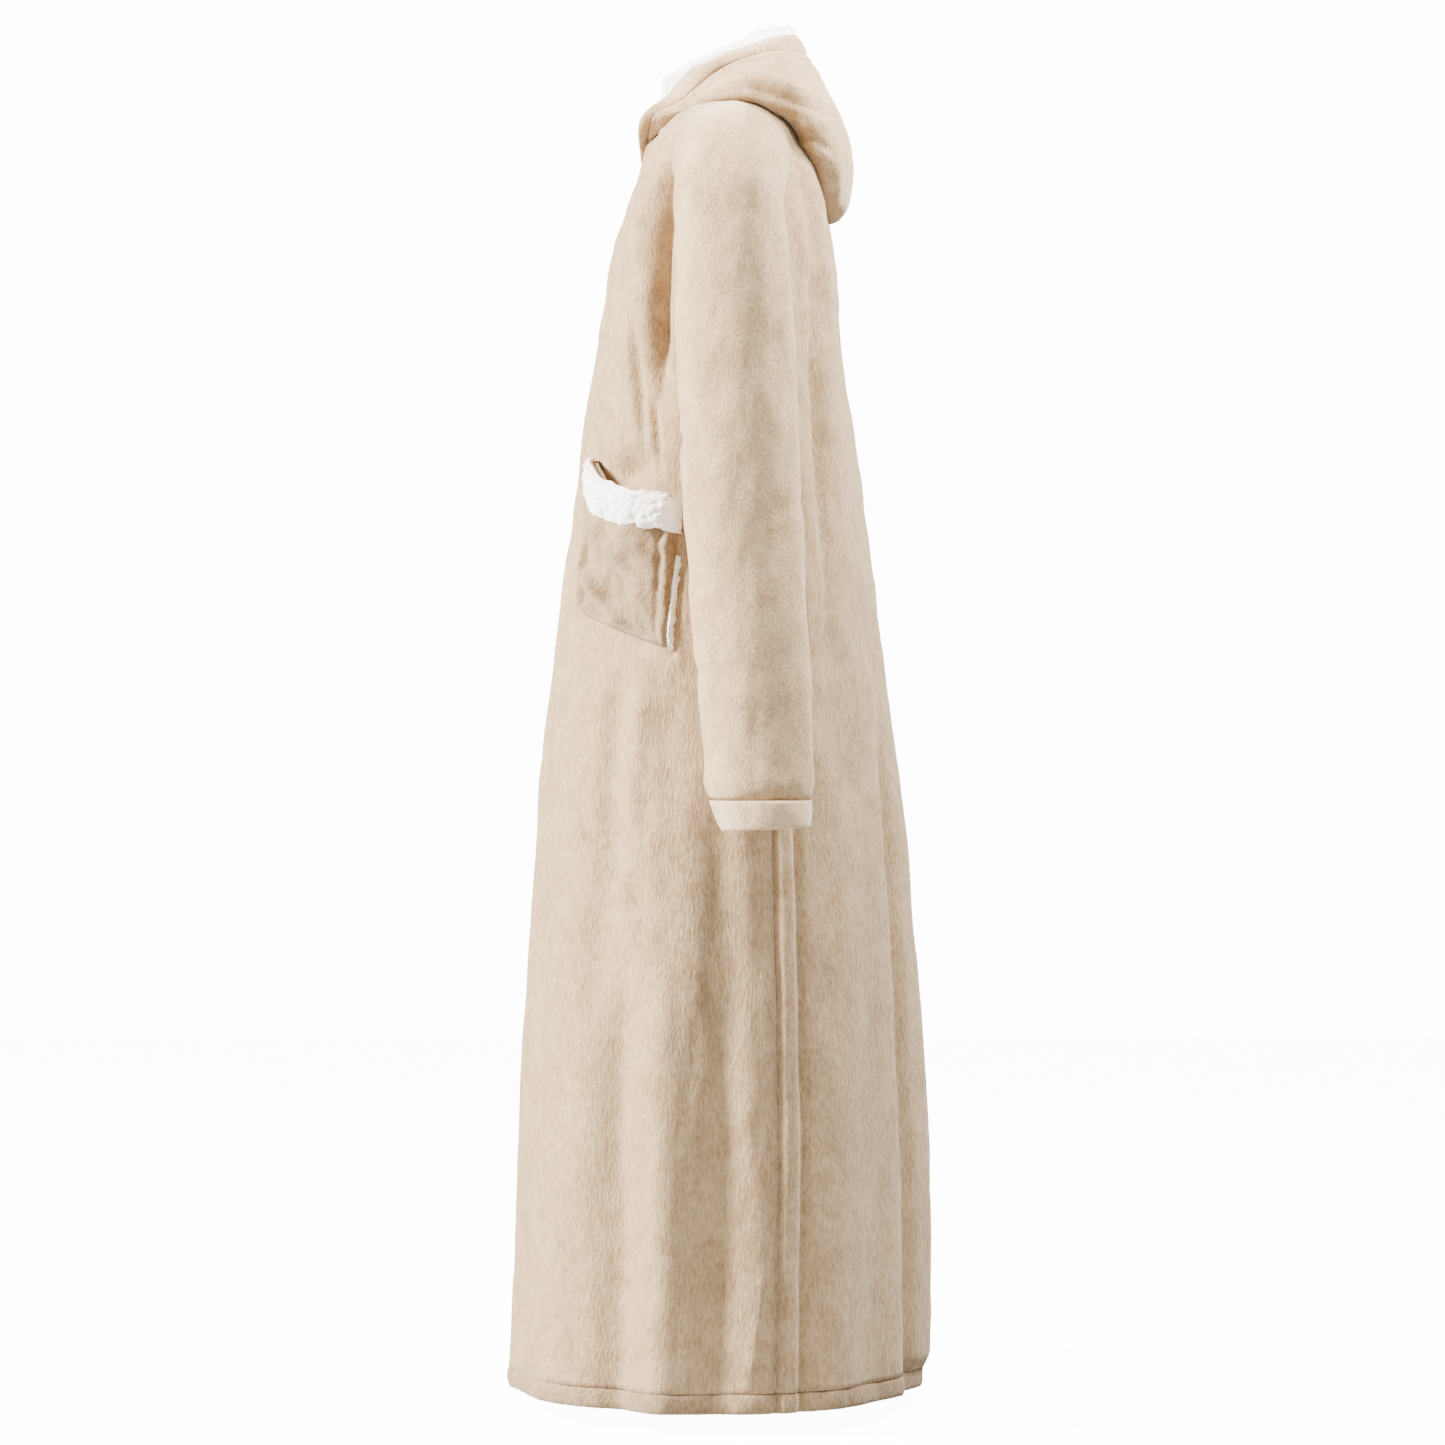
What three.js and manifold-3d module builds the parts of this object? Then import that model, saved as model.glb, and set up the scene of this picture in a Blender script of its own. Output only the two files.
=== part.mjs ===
// Full-length hooded bathrobe of plush fleece with a thick pile lining, as it stands when worn:
// body panels, set-in sleeves with cuffs, hood with a turned brim, two patch pockets, hem bands,
// a front zip and a hanging loop.
// Millimetres, +Z up, garment front towards -Y, wearer's left towards +X.
// The origin is the point between the shoulders, level with the neck seam, that carries the robe.
import * as THREE from 'three';
import { mergeVertices } from 'three/addons/utils/BufferGeometryUtils.js';
import Module from 'manifold-3d';

const wasm = await Module();
wasm.setup();

// ---------------------------------------------------------------- driving dimensions
const seamGap = 0.4; // running gap between pieces that are sewn edge to edge
const shellThickness = 3;
const liningThickness = 5;

const hemDrop = 1323; // neck seam level down to the hem
const hemBandHeight = 20;
const hemHalfWidth = 290;
const hemHalfDepth = 216;
const hipHalfWidth = 226;
const chestHalfWidth = 206;
const neckHalfWidth = 82;
const neckFrontDrop = 68;
const sideSeamAngle = 106; // degrees round from the centre front

const armholeRadius = 61;
const armholeDrop = 82; // armhole centre below the neck seam level
const armholeSetback = 20; // armhole centre behind the middle of the robe
const armholeClearance = 1;

const sleeveDrop = 718; // neck seam level down to the sleeve end
const sleeveHead = 195; // where the sleeve starts to turn down
const sleeveInset = 112; // where the sleeve starts, inside the armhole
const sleeveTurnRadius = 66;
const sleeveHalfThickness = 45;
const sleeveEndX = 300;
const sleeveEndHalfWidth = 51;
const cuffLength = 29;
const cuffHalfWidth = 46;

const zipTopDrop = 76;
const zipLength = 930;
const zipTopDepth = 76; // how far the zip lies ahead of the middle, at its two ends
const zipBottomDepth = 190;
const zipRunOut = 70; // the front stays straight this far below the zip
const hemTuck = 5; // the closed centre front at the hem, behind the full hem depth
const zipEdge = 6.5; // fabric edge to the centre line
const zipFlat = 18; // flat strip beside the zip
const valleyHalfWidth = 56; // the plush front bellies out beyond this
const tapeThickness = 1;
const teethWidth = 2.3;
const teethThickness = 2.6;
const teethGap = 2.2;
const stopLength = 3;
const sliderLength = 11;
const sliderHalfWidth = 5;
const sliderPlate = 1.5;
const sliderBlade = 1.6;
const sliderAir = 0.4;
const bailHalfWidth = 1;
const bailHalfLength = 3.4;
const bailBar = 1.1;
const bailHeight = 3.8;
const pullBarRadius = 0.7;
const pullLength = 32;
const pullHalfWidth = 4;
const pullThickness = 1.4;

const pocketFront = 34; // degrees round from the centre front
const pocketRear = 75;
const pocketFrontTop = 377; // below the neck seam level
const pocketRearTop = 414;
const pocketFrontBottom = 530;
const pocketRearBottom = 569;
const pocketBulge = 18;
const pocketRows = 7; // rows of the pocket, from bottom to mouth
const pocketColumns = 8;
const pocketTrimRows = 2; // the topmost rows carry the pile trim
const pocketLiningRows = 4;
const pocketTrimThickness = 7;
const pocketLiningThickness = 3.5;

const brimWidth = 26;
const brimThickness = 5;
const hoodLayerGap = 1.8; // the hood's lining hangs a little loose
const hoodLiningThickness = 4;
const brimSeam = 4; // groove between the brim and the hood behind it
const loopHalfWidth = 20;
const loopHeight = 16;
const loopBand = 6;
const loopThickness = 2;
const neckTapeHeight = 12;
const neckTapeThickness = 1.2;
const neckTapeGap = 0.9;

// ---------------------------------------------------------------- materials
function cloth(colour, roughness) {
  return new THREE.MeshStandardMaterial({ color: colour, roughness, metalness: 0 });
}

const beige = cloth(0xd3bfa9, 0.92);
const beigeLight = cloth(0xe0d2c2, 0.92);
const pile = cloth(0xf6f1ea, 0.97);
const tape = cloth(0xc9b7a2, 0.85);
const nylon = new THREE.MeshStandardMaterial({ color: 0xcbbba8, roughness: 0.45, metalness: 0 });
const metal = new THREE.MeshStandardMaterial({ color: 0xb9b4ab, roughness: 0.35, metalness: 1 });

// ---------------------------------------------------------------- body surface
// Level rings of the body from the hem to the neck seam: height of its front, side and back,
// half width, how far the front and back lie from the middle, and how square the ring is.
const rings = [
  { front: -hemDrop, side: -hemDrop, back: -hemDrop, width: hemHalfWidth, ahead: hemHalfDepth + 3,
    behind: hemHalfDepth, square: 2 },
  { front: -1056, side: -1056, back: -1056, width: 274, ahead: 208, behind: 214, square: 2 },
  { front: -723, side: -723, back: -723, width: 247, ahead: 187, behind: 188, square: 2.1 },
  { front: -474, side: -474, back: -474, width: hipHalfWidth, ahead: 158, behind: 158, square: 2.2 },
  { front: -307, side: -307, back: -307, width: 214, ahead: 134, behind: 133, square: 2.3 },
  { front: -182, side: -182, back: -182, width: chestHalfWidth, ahead: 114, behind: 114, square: 2.4 },
  { front: -122, side: -105, back: -105, width: 200, ahead: 98, behind: 102, square: 2.4 },
  { front: -96, side: -46, back: -50, width: 184, ahead: 88, behind: 86, square: 2.3 },
  { front: -80, side: -17, back: -17, width: 135, ahead: 83, behind: 73, square: 2.2 },
  { front: -neckFrontDrop, side: -4, back: 4, width: neckHalfWidth, ahead: 79, behind: 63, square: 2 },
];
const neckLevel = rings.length - 1;

function spline(a, b, c, d, t) {
  const slopeB = (c - a) / 2;
  const slopeC = (d - b) / 2;
  const rise = b - c;
  return ((2 * rise + slopeB + slopeC) * t - 3 * rise - 2 * slopeB - slopeC) * t * t + slopeB * t + b;
}

function ringValue(key, level) {
  const low = Math.min(Math.floor(level), neckLevel - 1);
  const value = (i) => rings[Math.min(Math.max(i, 0), neckLevel)][key];
  return spline(value(low - 1), value(low), value(low + 1), value(low + 2), level - low);
}

// The level whose front, side or back lies at height z.
function levelAt(z, key = 'side') {
  let low = 0;
  let high = neckLevel;
  for (let i = 0; i < 40; i += 1) {
    const middle = (low + high) / 2;
    if (ringValue(key, middle) < z) low = middle;
    else high = middle;
  }
  return (low + high) / 2;
}

// How far the centre front lies ahead of the middle: straight along the zip and a little past it,
// then on down to the hem.
function zipDepth(z) {
  const slope = (zipBottomDepth - zipTopDepth) / zipLength;
  const straight = Math.min(-z - zipTopDrop, zipLength + zipRunOut);
  const depth = zipTopDepth + slope * straight;
  const end = zipTopDrop + zipLength + zipRunOut;
  const past = Math.max(-z - end, 0) / (hemDrop - end);
  return depth + (hemHalfDepth - hemTuck - depth) * past;
}

function smooth(low, high, x) {
  const t = Math.min(Math.max((x - low) / (high - low), 0), 1);
  return t * t * (3 - 2 * t);
}

function signedPower(x, power) {
  return Math.sign(x) * Math.abs(x) ** power;
}

// A point of the body's outer surface: angle in radians from the centre front round to +X.
function body(angle, level) {
  const cosine = Math.cos(angle);
  const ahead = ringValue('ahead', level);
  const behind = ringValue('behind', level);
  const power = 2 / ringValue('square', level);
  const side = ringValue('side', level);
  const end = ringValue(cosine > 0 ? 'front' : 'back', level);
  const x = ringValue('width', level) * signedPower(Math.sin(angle), power);
  const z = side + (end - side) * cosine * cosine;
  const round = (behind - ahead) / 2 - (behind + ahead) / 2 * signedPower(cosine, power);
  const belly = cosine > 0 ? smooth(zipFlat, valleyHalfWidth, Math.abs(x)) : 1;
  const y = round * belly - zipDepth(z) * (1 - belly);
  return new THREE.Vector3(x, y, z);
}

// The angle at which the front of a ring is x from the centre line.
function angleAt(x, level) {
  const power = ringValue('square', level) / 2;
  return Math.asin((x / ringValue('width', level)) ** power);
}

// ---------------------------------------------------------------- building closed sheets
// A closed sheet over the surface point(u, v), u and v from 0 to 1. Its faces lie `inner` and
// `outer` along the surface's normal. With `ring` the sheet closes on itself along u.
function sheet(point, columns, rows, inner, outer, { ring = false, fit = (p) => p } = {}) {
  const step = 1e-3;
  const across = ring ? columns : columns + 1;
  const positions = [];
  for (const offset of [outer, inner]) {
    for (let j = 0; j <= rows; j += 1) {
      for (let i = 0; i < across; i += 1) {
        const u = i / columns;
        const v = j / rows;
        const u0 = ring ? u - step : Math.max(u - step, 0);
        const u1 = ring ? u + step : Math.min(u + step, 1);
        const alongU = point(u1, v).sub(point(u0, v));
        const alongV = point(u, Math.min(v + step, 1)).sub(point(u, Math.max(v - step, 0)));
        const normal = alongU.cross(alongV).normalize();
        const place = typeof offset === 'function' ? offset(u, v) : offset;
        const p = fit(point(u, v).addScaledVector(normal, place));
        positions.push(p.x, p.y, p.z);
      }
    }
  }
  const layer = across * (rows + 1);
  const at = (i, j) => j * across + (i % across);
  const index = [];
  const quad = (a, b, c, d) => index.push(a, b, c, a, c, d);
  for (let j = 0; j < rows; j += 1) {
    for (let i = 0; i < columns; i += 1) {
      const [a, b, c, d] = [at(i, j), at(i + 1, j), at(i + 1, j + 1), at(i, j + 1)];
      quad(a, b, c, d);
      quad(c + layer, b + layer, a + layer, d + layer);
    }
    if (!ring) {
      quad(at(0, j), at(0, j + 1), at(0, j + 1) + layer, at(0, j) + layer);
      quad(at(columns, j + 1), at(columns, j), at(columns, j) + layer, at(columns, j + 1) + layer);
    }
  }
  for (let i = 0; i < columns; i += 1) {
    quad(at(i + 1, 0), at(i, 0), at(i, 0) + layer, at(i + 1, 0) + layer);
    quad(at(i, rows), at(i + 1, rows), at(i + 1, rows) + layer, at(i, rows) + layer);
  }
  return indexed(positions, index);
}

function indexed(positions, index) {
  const geometry = new THREE.BufferGeometry();
  geometry.setAttribute('position', new THREE.Float32BufferAttribute(positions, 3));
  geometry.setIndex(index);
  return geometry;
}

function mirrored(geometry) {
  const copy = geometry.clone().scale(-1, 1, 1);
  const corners = Array.from(copy.getIndex().array);
  for (let i = 0; i < corners.length; i += 3) {
    [corners[i + 1], corners[i + 2]] = [corners[i + 2], corners[i + 1]];
  }
  copy.setIndex(corners);
  return copy;
}

function solid(geometry) {
  const bare = geometry.clone();
  bare.deleteAttribute('normal');
  bare.deleteAttribute('uv');
  const merged = mergeVertices(bare);
  return new wasm.Manifold(new wasm.Mesh({
    numProp: 3,
    vertProperties: new Float32Array(merged.getAttribute('position').array),
    triVerts: new Uint32Array(merged.getIndex().array),
  }));
}

function fromSolid(manifold) {
  const mesh = manifold.getMesh();
  return indexed(Array.from(mesh.vertProperties), Array.from(mesh.triVerts));
}

function joined(geometries) {
  return fromSolid(geometries.map(solid).reduce((whole, next) => whole.add(next)));
}

function box(x0, x1, y0, y1, z0, z1) {
  const geometry = new THREE.BoxGeometry(x1 - x0, y1 - y0, z1 - z0);
  return geometry.translate((x0 + x1) / 2, (y0 + y1) / 2, (z0 + z1) / 2);
}

// The hole in the body's side that the sleeve turns in, on one side of the robe.
function armhole(side) {
  const bore = new THREE.CylinderGeometry(armholeRadius, armholeRadius, 160, 36);
  bore.rotateZ(Math.PI / 2);
  bore.translate(side * (sleeveInset + 50), armholeSetback, -armholeDrop);
  return solid(bore);
}

// ---------------------------------------------------------------- assembly
const group = new THREE.Group();

function add(name, geometry, material, parent = group) {
  const mesh = new THREE.Mesh(geometry, material);
  mesh.name = name;
  parent.add(mesh);
  return mesh;
}

function addPair(name, geometry, material, parent = group) {
  add(`${name}_left`, geometry, material, parent);
  add(`${name}_right`, mirrored(geometry), material, parent);
}

const seam = THREE.MathUtils.degToRad(sideSeamAngle);
const bandTop = levelAt(-hemDrop + hemBandHeight);
const bandLevels = [0, levelAt(-hemDrop + hemBandHeight - seamGap)];
const straightEnd = levelAt(-zipTopDrop - zipLength - zipRunOut);
const panelLevels = [bandTop, 0.5, straightEnd, 1.5, 2, 2.5, 3, 4, 5, 6, 7, 8, 8.5, neckLevel];

// The level a share v of the way up a list of levels.
function between(levels, v) {
  const place = v * (levels.length - 1);
  const i = Math.min(Math.floor(place), levels.length - 2);
  return levels[i] + (levels[i + 1] - levels[i]) * (place - i);
}

// The front from x = edge at the centre line round to the side seam.
function frontSheet(edge, levels, inner, outer) {
  const valley = [zipFlat, (zipFlat + valleyHalfWidth) / 2, valleyHalfWidth];
  const strips = edge < zipFlat ? [edge, ...valley] : valley;
  const sideColumns = 7;
  const columns = strips.length - 1 + sideColumns;
  const angle = (u, level) => {
    const place = u * columns;
    const last = strips.length - 1;
    if (place < last) {
      const i = Math.floor(place);
      return angleAt(strips[i] + (strips[i + 1] - strips[i]) * (place - i), level);
    }
    const start = angleAt(valleyHalfWidth, level);
    const short = seamGap / 2 / ringValue('width', level);
    return start + (seam - short - start) * (place - last) / sideColumns;
  };
  const point = (u, v) => {
    const level = between(levels, v);
    return body(angle(u, level), level);
  };
  return sheet(point, columns, levels.length - 1, inner, outer);
}

function backSheet(levels, inner, outer) {
  const point = (u, v) => {
    const level = between(levels, v);
    const start = seam + seamGap / 2 / ringValue('width', level);
    return body(start + (2 * Math.PI - 2 * start) * u, level);
  };
  return sheet(point, 14, levels.length - 1, inner, outer);
}

function bodyPanels() {
  const liningOuter = -shellThickness - seamGap;
  const liningInner = liningOuter - liningThickness;
  const front = frontSheet(zipEdge, panelLevels, -shellThickness, 0);
  addPair('front_panel', fromSolid(solid(front).subtract(armhole(1))), beige);
  const frontLining = frontSheet(zipFlat, panelLevels, liningInner, liningOuter);
  addPair('front_lining', fromSolid(solid(frontLining).subtract(armhole(1))), pile);
  const back = solid(backSheet(panelLevels, -shellThickness, 0));
  add('back_panel', fromSolid(back.subtract(armhole(1)).subtract(armhole(-1))), beige);
  const backLining = solid(backSheet(panelLevels, liningInner, liningOuter));
  add('back_lining', fromSolid(backLining.subtract(armhole(1)).subtract(armhole(-1))), pile);
  addPair('hem_band_front', frontSheet(zipEdge, bandLevels, liningInner, 0), beige);
  add('hem_band_back', backSheet(bandLevels, liningInner, 0), beige);
}

// ---------------------------------------------------------------- sleeves
// Rings of the sleeve from the armhole to the cuff: place, how far it has turned down,
// half width front to back and half thickness.
function sleeveRings() {
  const headRadius = armholeRadius - armholeClearance;
  const turned = [0, 30, 60, 90].map((degrees) => {
    const turn = THREE.MathUtils.degToRad(degrees);
    const share = degrees / 90;
    return {
      x: sleeveHead + sleeveTurnRadius * Math.sin(turn),
      y: armholeSetback - 5 * share,
      z: -armholeDrop - sleeveTurnRadius * (1 - Math.cos(turn)),
      turn,
      width: headRadius - share,
      thick: headRadius + (sleeveHalfThickness - headRadius) * share,
    };
  });
  const down = Math.PI / 2;
  return [
    { ...turned[0], x: sleeveInset },
    ...turned,
    { x: 268, y: 22, z: -330, turn: down, width: 60, thick: 44 },
    { x: 283, y: 32, z: -540, turn: down, width: 58, thick: 43 },
    { x: sleeveEndX, y: 41, z: -sleeveDrop, turn: down, width: sleeveEndHalfWidth, thick: 41 },
  ];
}

function tube(stations, rowsBetween, outerInset, innerInset) {
  const rows = (stations.length - 1) * rowsBetween;
  const ringAt = (v) => {
    const place = v * (stations.length - 1);
    const i = Math.min(Math.floor(place), stations.length - 2);
    const value = (k, key) => stations[Math.min(Math.max(k, 0), stations.length - 1)][key];
    const at = (key) => {
      const knots = [i - 1, i, i + 1, i + 2].map((k) => value(k, key));
      return spline(...knots, place - i);
    };
    return { x: at('x'), y: at('y'), z: at('z'), turn: at('turn'), width: at('width'), thick: at('thick') };
  };
  const columns = 16;
  const positions = [];
  for (const inset of [outerInset, innerInset]) {
    for (let j = 0; j <= rows; j += 1) {
      const ring = ringAt(j / rows);
      for (let i = 0; i < columns; i += 1) {
        const angle = i / columns * 2 * Math.PI;
        const out = (ring.thick - inset) * Math.sin(angle);
        positions.push(
          ring.x + out * Math.sin(ring.turn),
          ring.y + (ring.width - inset) * Math.cos(angle),
          ring.z + out * Math.cos(ring.turn),
        );
      }
    }
  }
  const layer = columns * (rows + 1);
  const index = [];
  const quad = (a, b, c, d) => index.push(a, b, c, a, c, d);
  for (let i = 0; i < columns; i += 1) {
    const next = (i + 1) % columns;
    for (let j = 0; j < rows; j += 1) {
      const corners = [j * columns + i, j * columns + next, (j + 1) * columns + next, (j + 1) * columns + i];
      const [a, b, c, d] = corners;
      quad(a + layer, b + layer, c + layer, d + layer);
      quad(c, b, a, d);
    }
    const last = rows * columns;
    quad(i, next, next + layer, i + layer);
    quad(last + next, last + i, last + i + layer, last + next + layer);
  }
  const geometry = indexed(positions, index);
  return solid(geometry).volume() < 0 ? turnedInsideOut(geometry) : geometry;
}

function turnedInsideOut(geometry) {
  const corners = Array.from(geometry.getIndex().array);
  for (let i = 0; i < corners.length; i += 3) {
    [corners[i + 1], corners[i + 2]] = [corners[i + 2], corners[i + 1]];
  }
  geometry.setIndex(corners);
  return geometry;
}

function sleeves() {
  const stations = sleeveRings();
  const end = stations.at(-1);
  const liningInset = shellThickness + seamGap;
  addPair('sleeve', tube(stations, 1, 0, shellThickness), beige);
  addPair('sleeve_lining', tube(stations, 1, liningInset, liningInset + liningThickness), pile);
  const slope = (end.x - stations.at(-2).x) / (stations.at(-2).z - end.z);
  const cuffTop = { ...end, z: end.z - seamGap, width: cuffHalfWidth + 3, thick: end.thick - 1 };
  const cuffEnd = {
    ...cuffTop,
    x: end.x + slope * cuffLength,
    y: end.y + 2,
    z: end.z - cuffLength,
    width: cuffHalfWidth,
    thick: end.thick - 4,
  };
  addPair('cuff', tube([cuffTop, cuffEnd], 1, 0, shellThickness + liningThickness), beigeLight);
}

// ---------------------------------------------------------------- zip
// The zip's pieces are drawn in its own frame: z runs up along it from its top end, y runs into
// the robe from the face of the fabric beside it.
function zip() {
  const frame = new THREE.Group();
  frame.position.set(0, -zipTopDepth, -zipTopDrop);
  const slant = Math.atan2(zipBottomDepth - zipTopDepth, zipLength);
  frame.rotation.x = -slant;
  group.add(frame);
  const length = Math.hypot(zipBottomDepth - zipTopDepth, zipLength);

  const teethInner = teethGap / 2;
  const teethOuter = teethInner + teethWidth;
  const tapeBack = shellThickness + seamGap;
  const tapeMiddle = tapeBack + tapeThickness / 2;
  const teethFront = tapeMiddle - teethThickness / 2;
  const teethBack = tapeMiddle + teethThickness / 2;
  const tapeInner = teethOuter + seamGap;
  addPair(
    'zip_tape',
    box(tapeInner, zipFlat - seamGap - 0.6, tapeBack, tapeBack + tapeThickness, -length, 0),
    tape,
    frame,
  );
  const teethTop = -stopLength - seamGap;
  addPair(
    'zip_teeth',
    box(teethInner, teethOuter, teethFront, teethBack, -length + stopLength + seamGap, teethTop),
    nylon,
    frame,
  );
  addPair('zip_top_stop', box(teethInner, teethOuter, teethFront, teethBack, -stopLength, 0), metal, frame);
  add(
    'zip_bottom_stop',
    box(-teethOuter, teethOuter, teethFront, teethBack, -length, -length + stopLength),
    metal,
    frame,
  );

  const middle = teethTop - sliderAir - sliderLength / 2;
  const halfLength = sliderLength / 2;
  const plateBack = teethFront - sliderAir;
  const plateFront = plateBack - sliderPlate;
  const rearFront = teethBack + sliderAir;
  const blade = sliderBlade / 2;
  const bailTop = plateFront - bailHeight;
  const slider = joined([
    box(-sliderHalfWidth, sliderHalfWidth, plateFront, plateBack, middle - halfLength, middle + halfLength),
    box(-sliderHalfWidth + 0.5, sliderHalfWidth - 0.5, rearFront, rearFront + sliderPlate,
      middle - halfLength, middle + halfLength),
    box(-blade, blade, plateBack - 0.1, rearFront + 0.1, middle - halfLength + 1, middle + halfLength - 1),
    box(-bailHalfWidth, bailHalfWidth, bailTop, plateFront + 0.1, middle + bailHalfLength - bailBar,
      middle + bailHalfLength),
    box(-bailHalfWidth, bailHalfWidth, bailTop, plateFront + 0.1, middle - bailHalfLength,
      middle - bailHalfLength + bailBar),
    box(-bailHalfWidth, bailHalfWidth, bailTop, bailTop + bailBar, middle - bailHalfLength,
      middle + bailHalfLength),
  ]);
  add('zip_slider', slider, metal, frame);

  const barY = plateFront - (bailHeight - bailBar) / 2;
  const armInner = bailHalfWidth + 0.6;
  const armOuter = armInner + 1.6;
  const tabTop = middle - bailHalfLength - 1.6;
  const bar = new THREE.CylinderGeometry(pullBarRadius, pullBarRadius, 2 * armOuter, 8);
  bar.rotateZ(Math.PI / 2).rotateX(Math.PI / 8).translate(0, barY, middle);
  const half = pullThickness / 2;
  const pull = joined([
    bar,
    box(-armOuter, -armInner, barY - half, barY + half, tabTop - 1, middle),
    box(armInner, armOuter, barY - half, barY + half, tabTop - 1, middle),
    box(-pullHalfWidth, pullHalfWidth, barY - half, barY + half, middle - pullLength, tabTop),
  ]);
  add('zip_pull', pull, metal, frame);
}

// ---------------------------------------------------------------- pockets
// A point of the body under the pocket, u from its front edge to its rear edge and v from its
// bottom to its mouth.
function underPocket(u, v) {
  const angle = THREE.MathUtils.degToRad(pocketFront + (pocketRear - pocketFront) * u);
  const top = pocketFrontTop + (pocketRearTop - pocketFrontTop) * u;
  const bottom = pocketFrontBottom + (pocketRearBottom - pocketFrontBottom) * u;
  return body(angle, levelAt(-(bottom + (top - bottom) * v)));
}

function pocketRise(u, v) {
  const side = 1 - Math.abs(2 * u - 1) ** 3;
  return seamGap + pocketBulge * side * smooth(0, 0.8, v);
}

// A sheet over part of the pocket's columns and rows.
function pocketSheet(firstColumn, firstRow, inner, outer) {
  const columns = pocketColumns - 2 * firstColumn;
  const rows = pocketRows - firstRow;
  const across = (u) => (firstColumn + columns * u) / pocketColumns;
  const up = (v) => (firstRow + rows * v) / pocketRows;
  const point = (u, v) => underPocket(across(u), up(v));
  const rise = (u, v) => pocketRise(across(u), up(v));
  return sheet(point, columns, rows, (u, v) => rise(u, v) + inner, (u, v) => rise(u, v) + outer);
}

function pockets() {
  const trimInner = shellThickness + seamGap;
  const trimOuter = trimInner + pocketTrimThickness;
  const liningInner = -seamGap - pocketLiningThickness;
  addPair('pocket', pocketSheet(0, 0, 0, shellThickness), beige);
  addPair('pocket_lining', pocketSheet(1, pocketRows - pocketLiningRows, liningInner, -seamGap), pile);
  addPair('pocket_trim', pocketSheet(0, pocketRows - pocketTrimRows, trimInner, trimOuter), pile);
}

// ---------------------------------------------------------------- hood
// Sections of the fallen-back hood's left side, from the brim edge to the tip of the lobe behind
// the neck. Each runs from the neck seam, or the seam under the lobe, up round the side to the
// seam over the top.
const hoodNet = [
  [[5, -80, -62], [44, -80, -34], [76, -54, 3], [90, -30, 23], [80, 16, 46], [40, 64, 66], [3, 82, 72]],
  [[52, -63, -37], [84, -56, -14], [100, -32, 4], [104, 8, 24], [92, 46, 40], [48, 76, 56], [0, 88, 57]],
  [[83, -12, 4], [104, -6, 3], [115, 10, 10], [113, 44, 17], [96, 72, 24], [52, 96, 32], [0, 106, 27]],
  [[62, 44, 13], [88, 46, 3], [110, 56, -5], [112, 74, -6], [94, 98, -2], [50, 118, -2], [0, 126, -14]],
  [[0, 76, -8], [40, 80, -20], [82, 82, -32], [104, 94, -34], [90, 115, -34], [50, 131, -36], [0, 139, -50]],
  [[0, 98, -58], [36, 99, -66], [70, 101, -70], [88, 109, -72], [78, 124, -74], [44, 138, -76], [0, 143, -86]],
  [[0, 107, -98], [26, 108, -102], [48, 110, -104], [58, 115, -106], [50, 124, -106], [30, 134, -106],
    [0, 138, -108]],
  [[0, 115, -121], [4, 116, -122], [7, 118, -123], [9, 121, -124], [7, 124, -123], [4, 127, -122],
    [0, 129, -121]],
].map((section) => section.map((place) => new THREE.Vector3(...place)));

const hoodRows = new Map();

// The curve from the brim to the tip, a share t of the way up the side.
function hoodRow(t) {
  if (!hoodRows.has(t)) {
    const across = hoodNet.map((section) => new THREE.CatmullRomCurve3(section).getPoint(t));
    const row = new THREE.CatmullRomCurve3(across);
    row.arcLengthDivisions = 60;
    hoodRows.set(t, row);
  }
  return hoodRows.get(t);
}

// A sheet of the hood's left side: its first `columns` steps of those that reach from one distance
// behind the brim edge to another, or to the tip, above the lowest `low` rows.
function hoodSheet(start, end, steps, columns, low, inner, outer) {
  const rows = 10;
  const point = (u, v) => {
    const row = hoodRow((low + (rows - low) * v) / rows);
    const length = row.getLength();
    const to = end ?? length;
    const along = start + (to - start) * u * columns / steps;
    return row.getPointAt(Math.min(along / length, 1));
  };
  const offCentre = (p) => new THREE.Vector3(Math.max(p.x, seamGap / 2), p.y, p.z);
  return sheet(point, columns, rows - low, inner, outer, { fit: offCentre });
}

function hood() {
  const liningOuter = -shellThickness - hoodLayerGap;
  const liningInner = liningOuter - hoodLiningThickness;
  const start = brimWidth + brimSeam;
  const steps = 12;
  addPair('hood_panel', hoodSheet(start, null, steps, steps, 0, -shellThickness, 0), beige);
  addPair('hood_lining', hoodSheet(start, null, steps, steps - 2, 2, liningInner, liningOuter), pile);
  addPair('hood_brim', hoodSheet(0, brimWidth, 2, 2, 0, -brimThickness, 0), beige);
}

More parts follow.
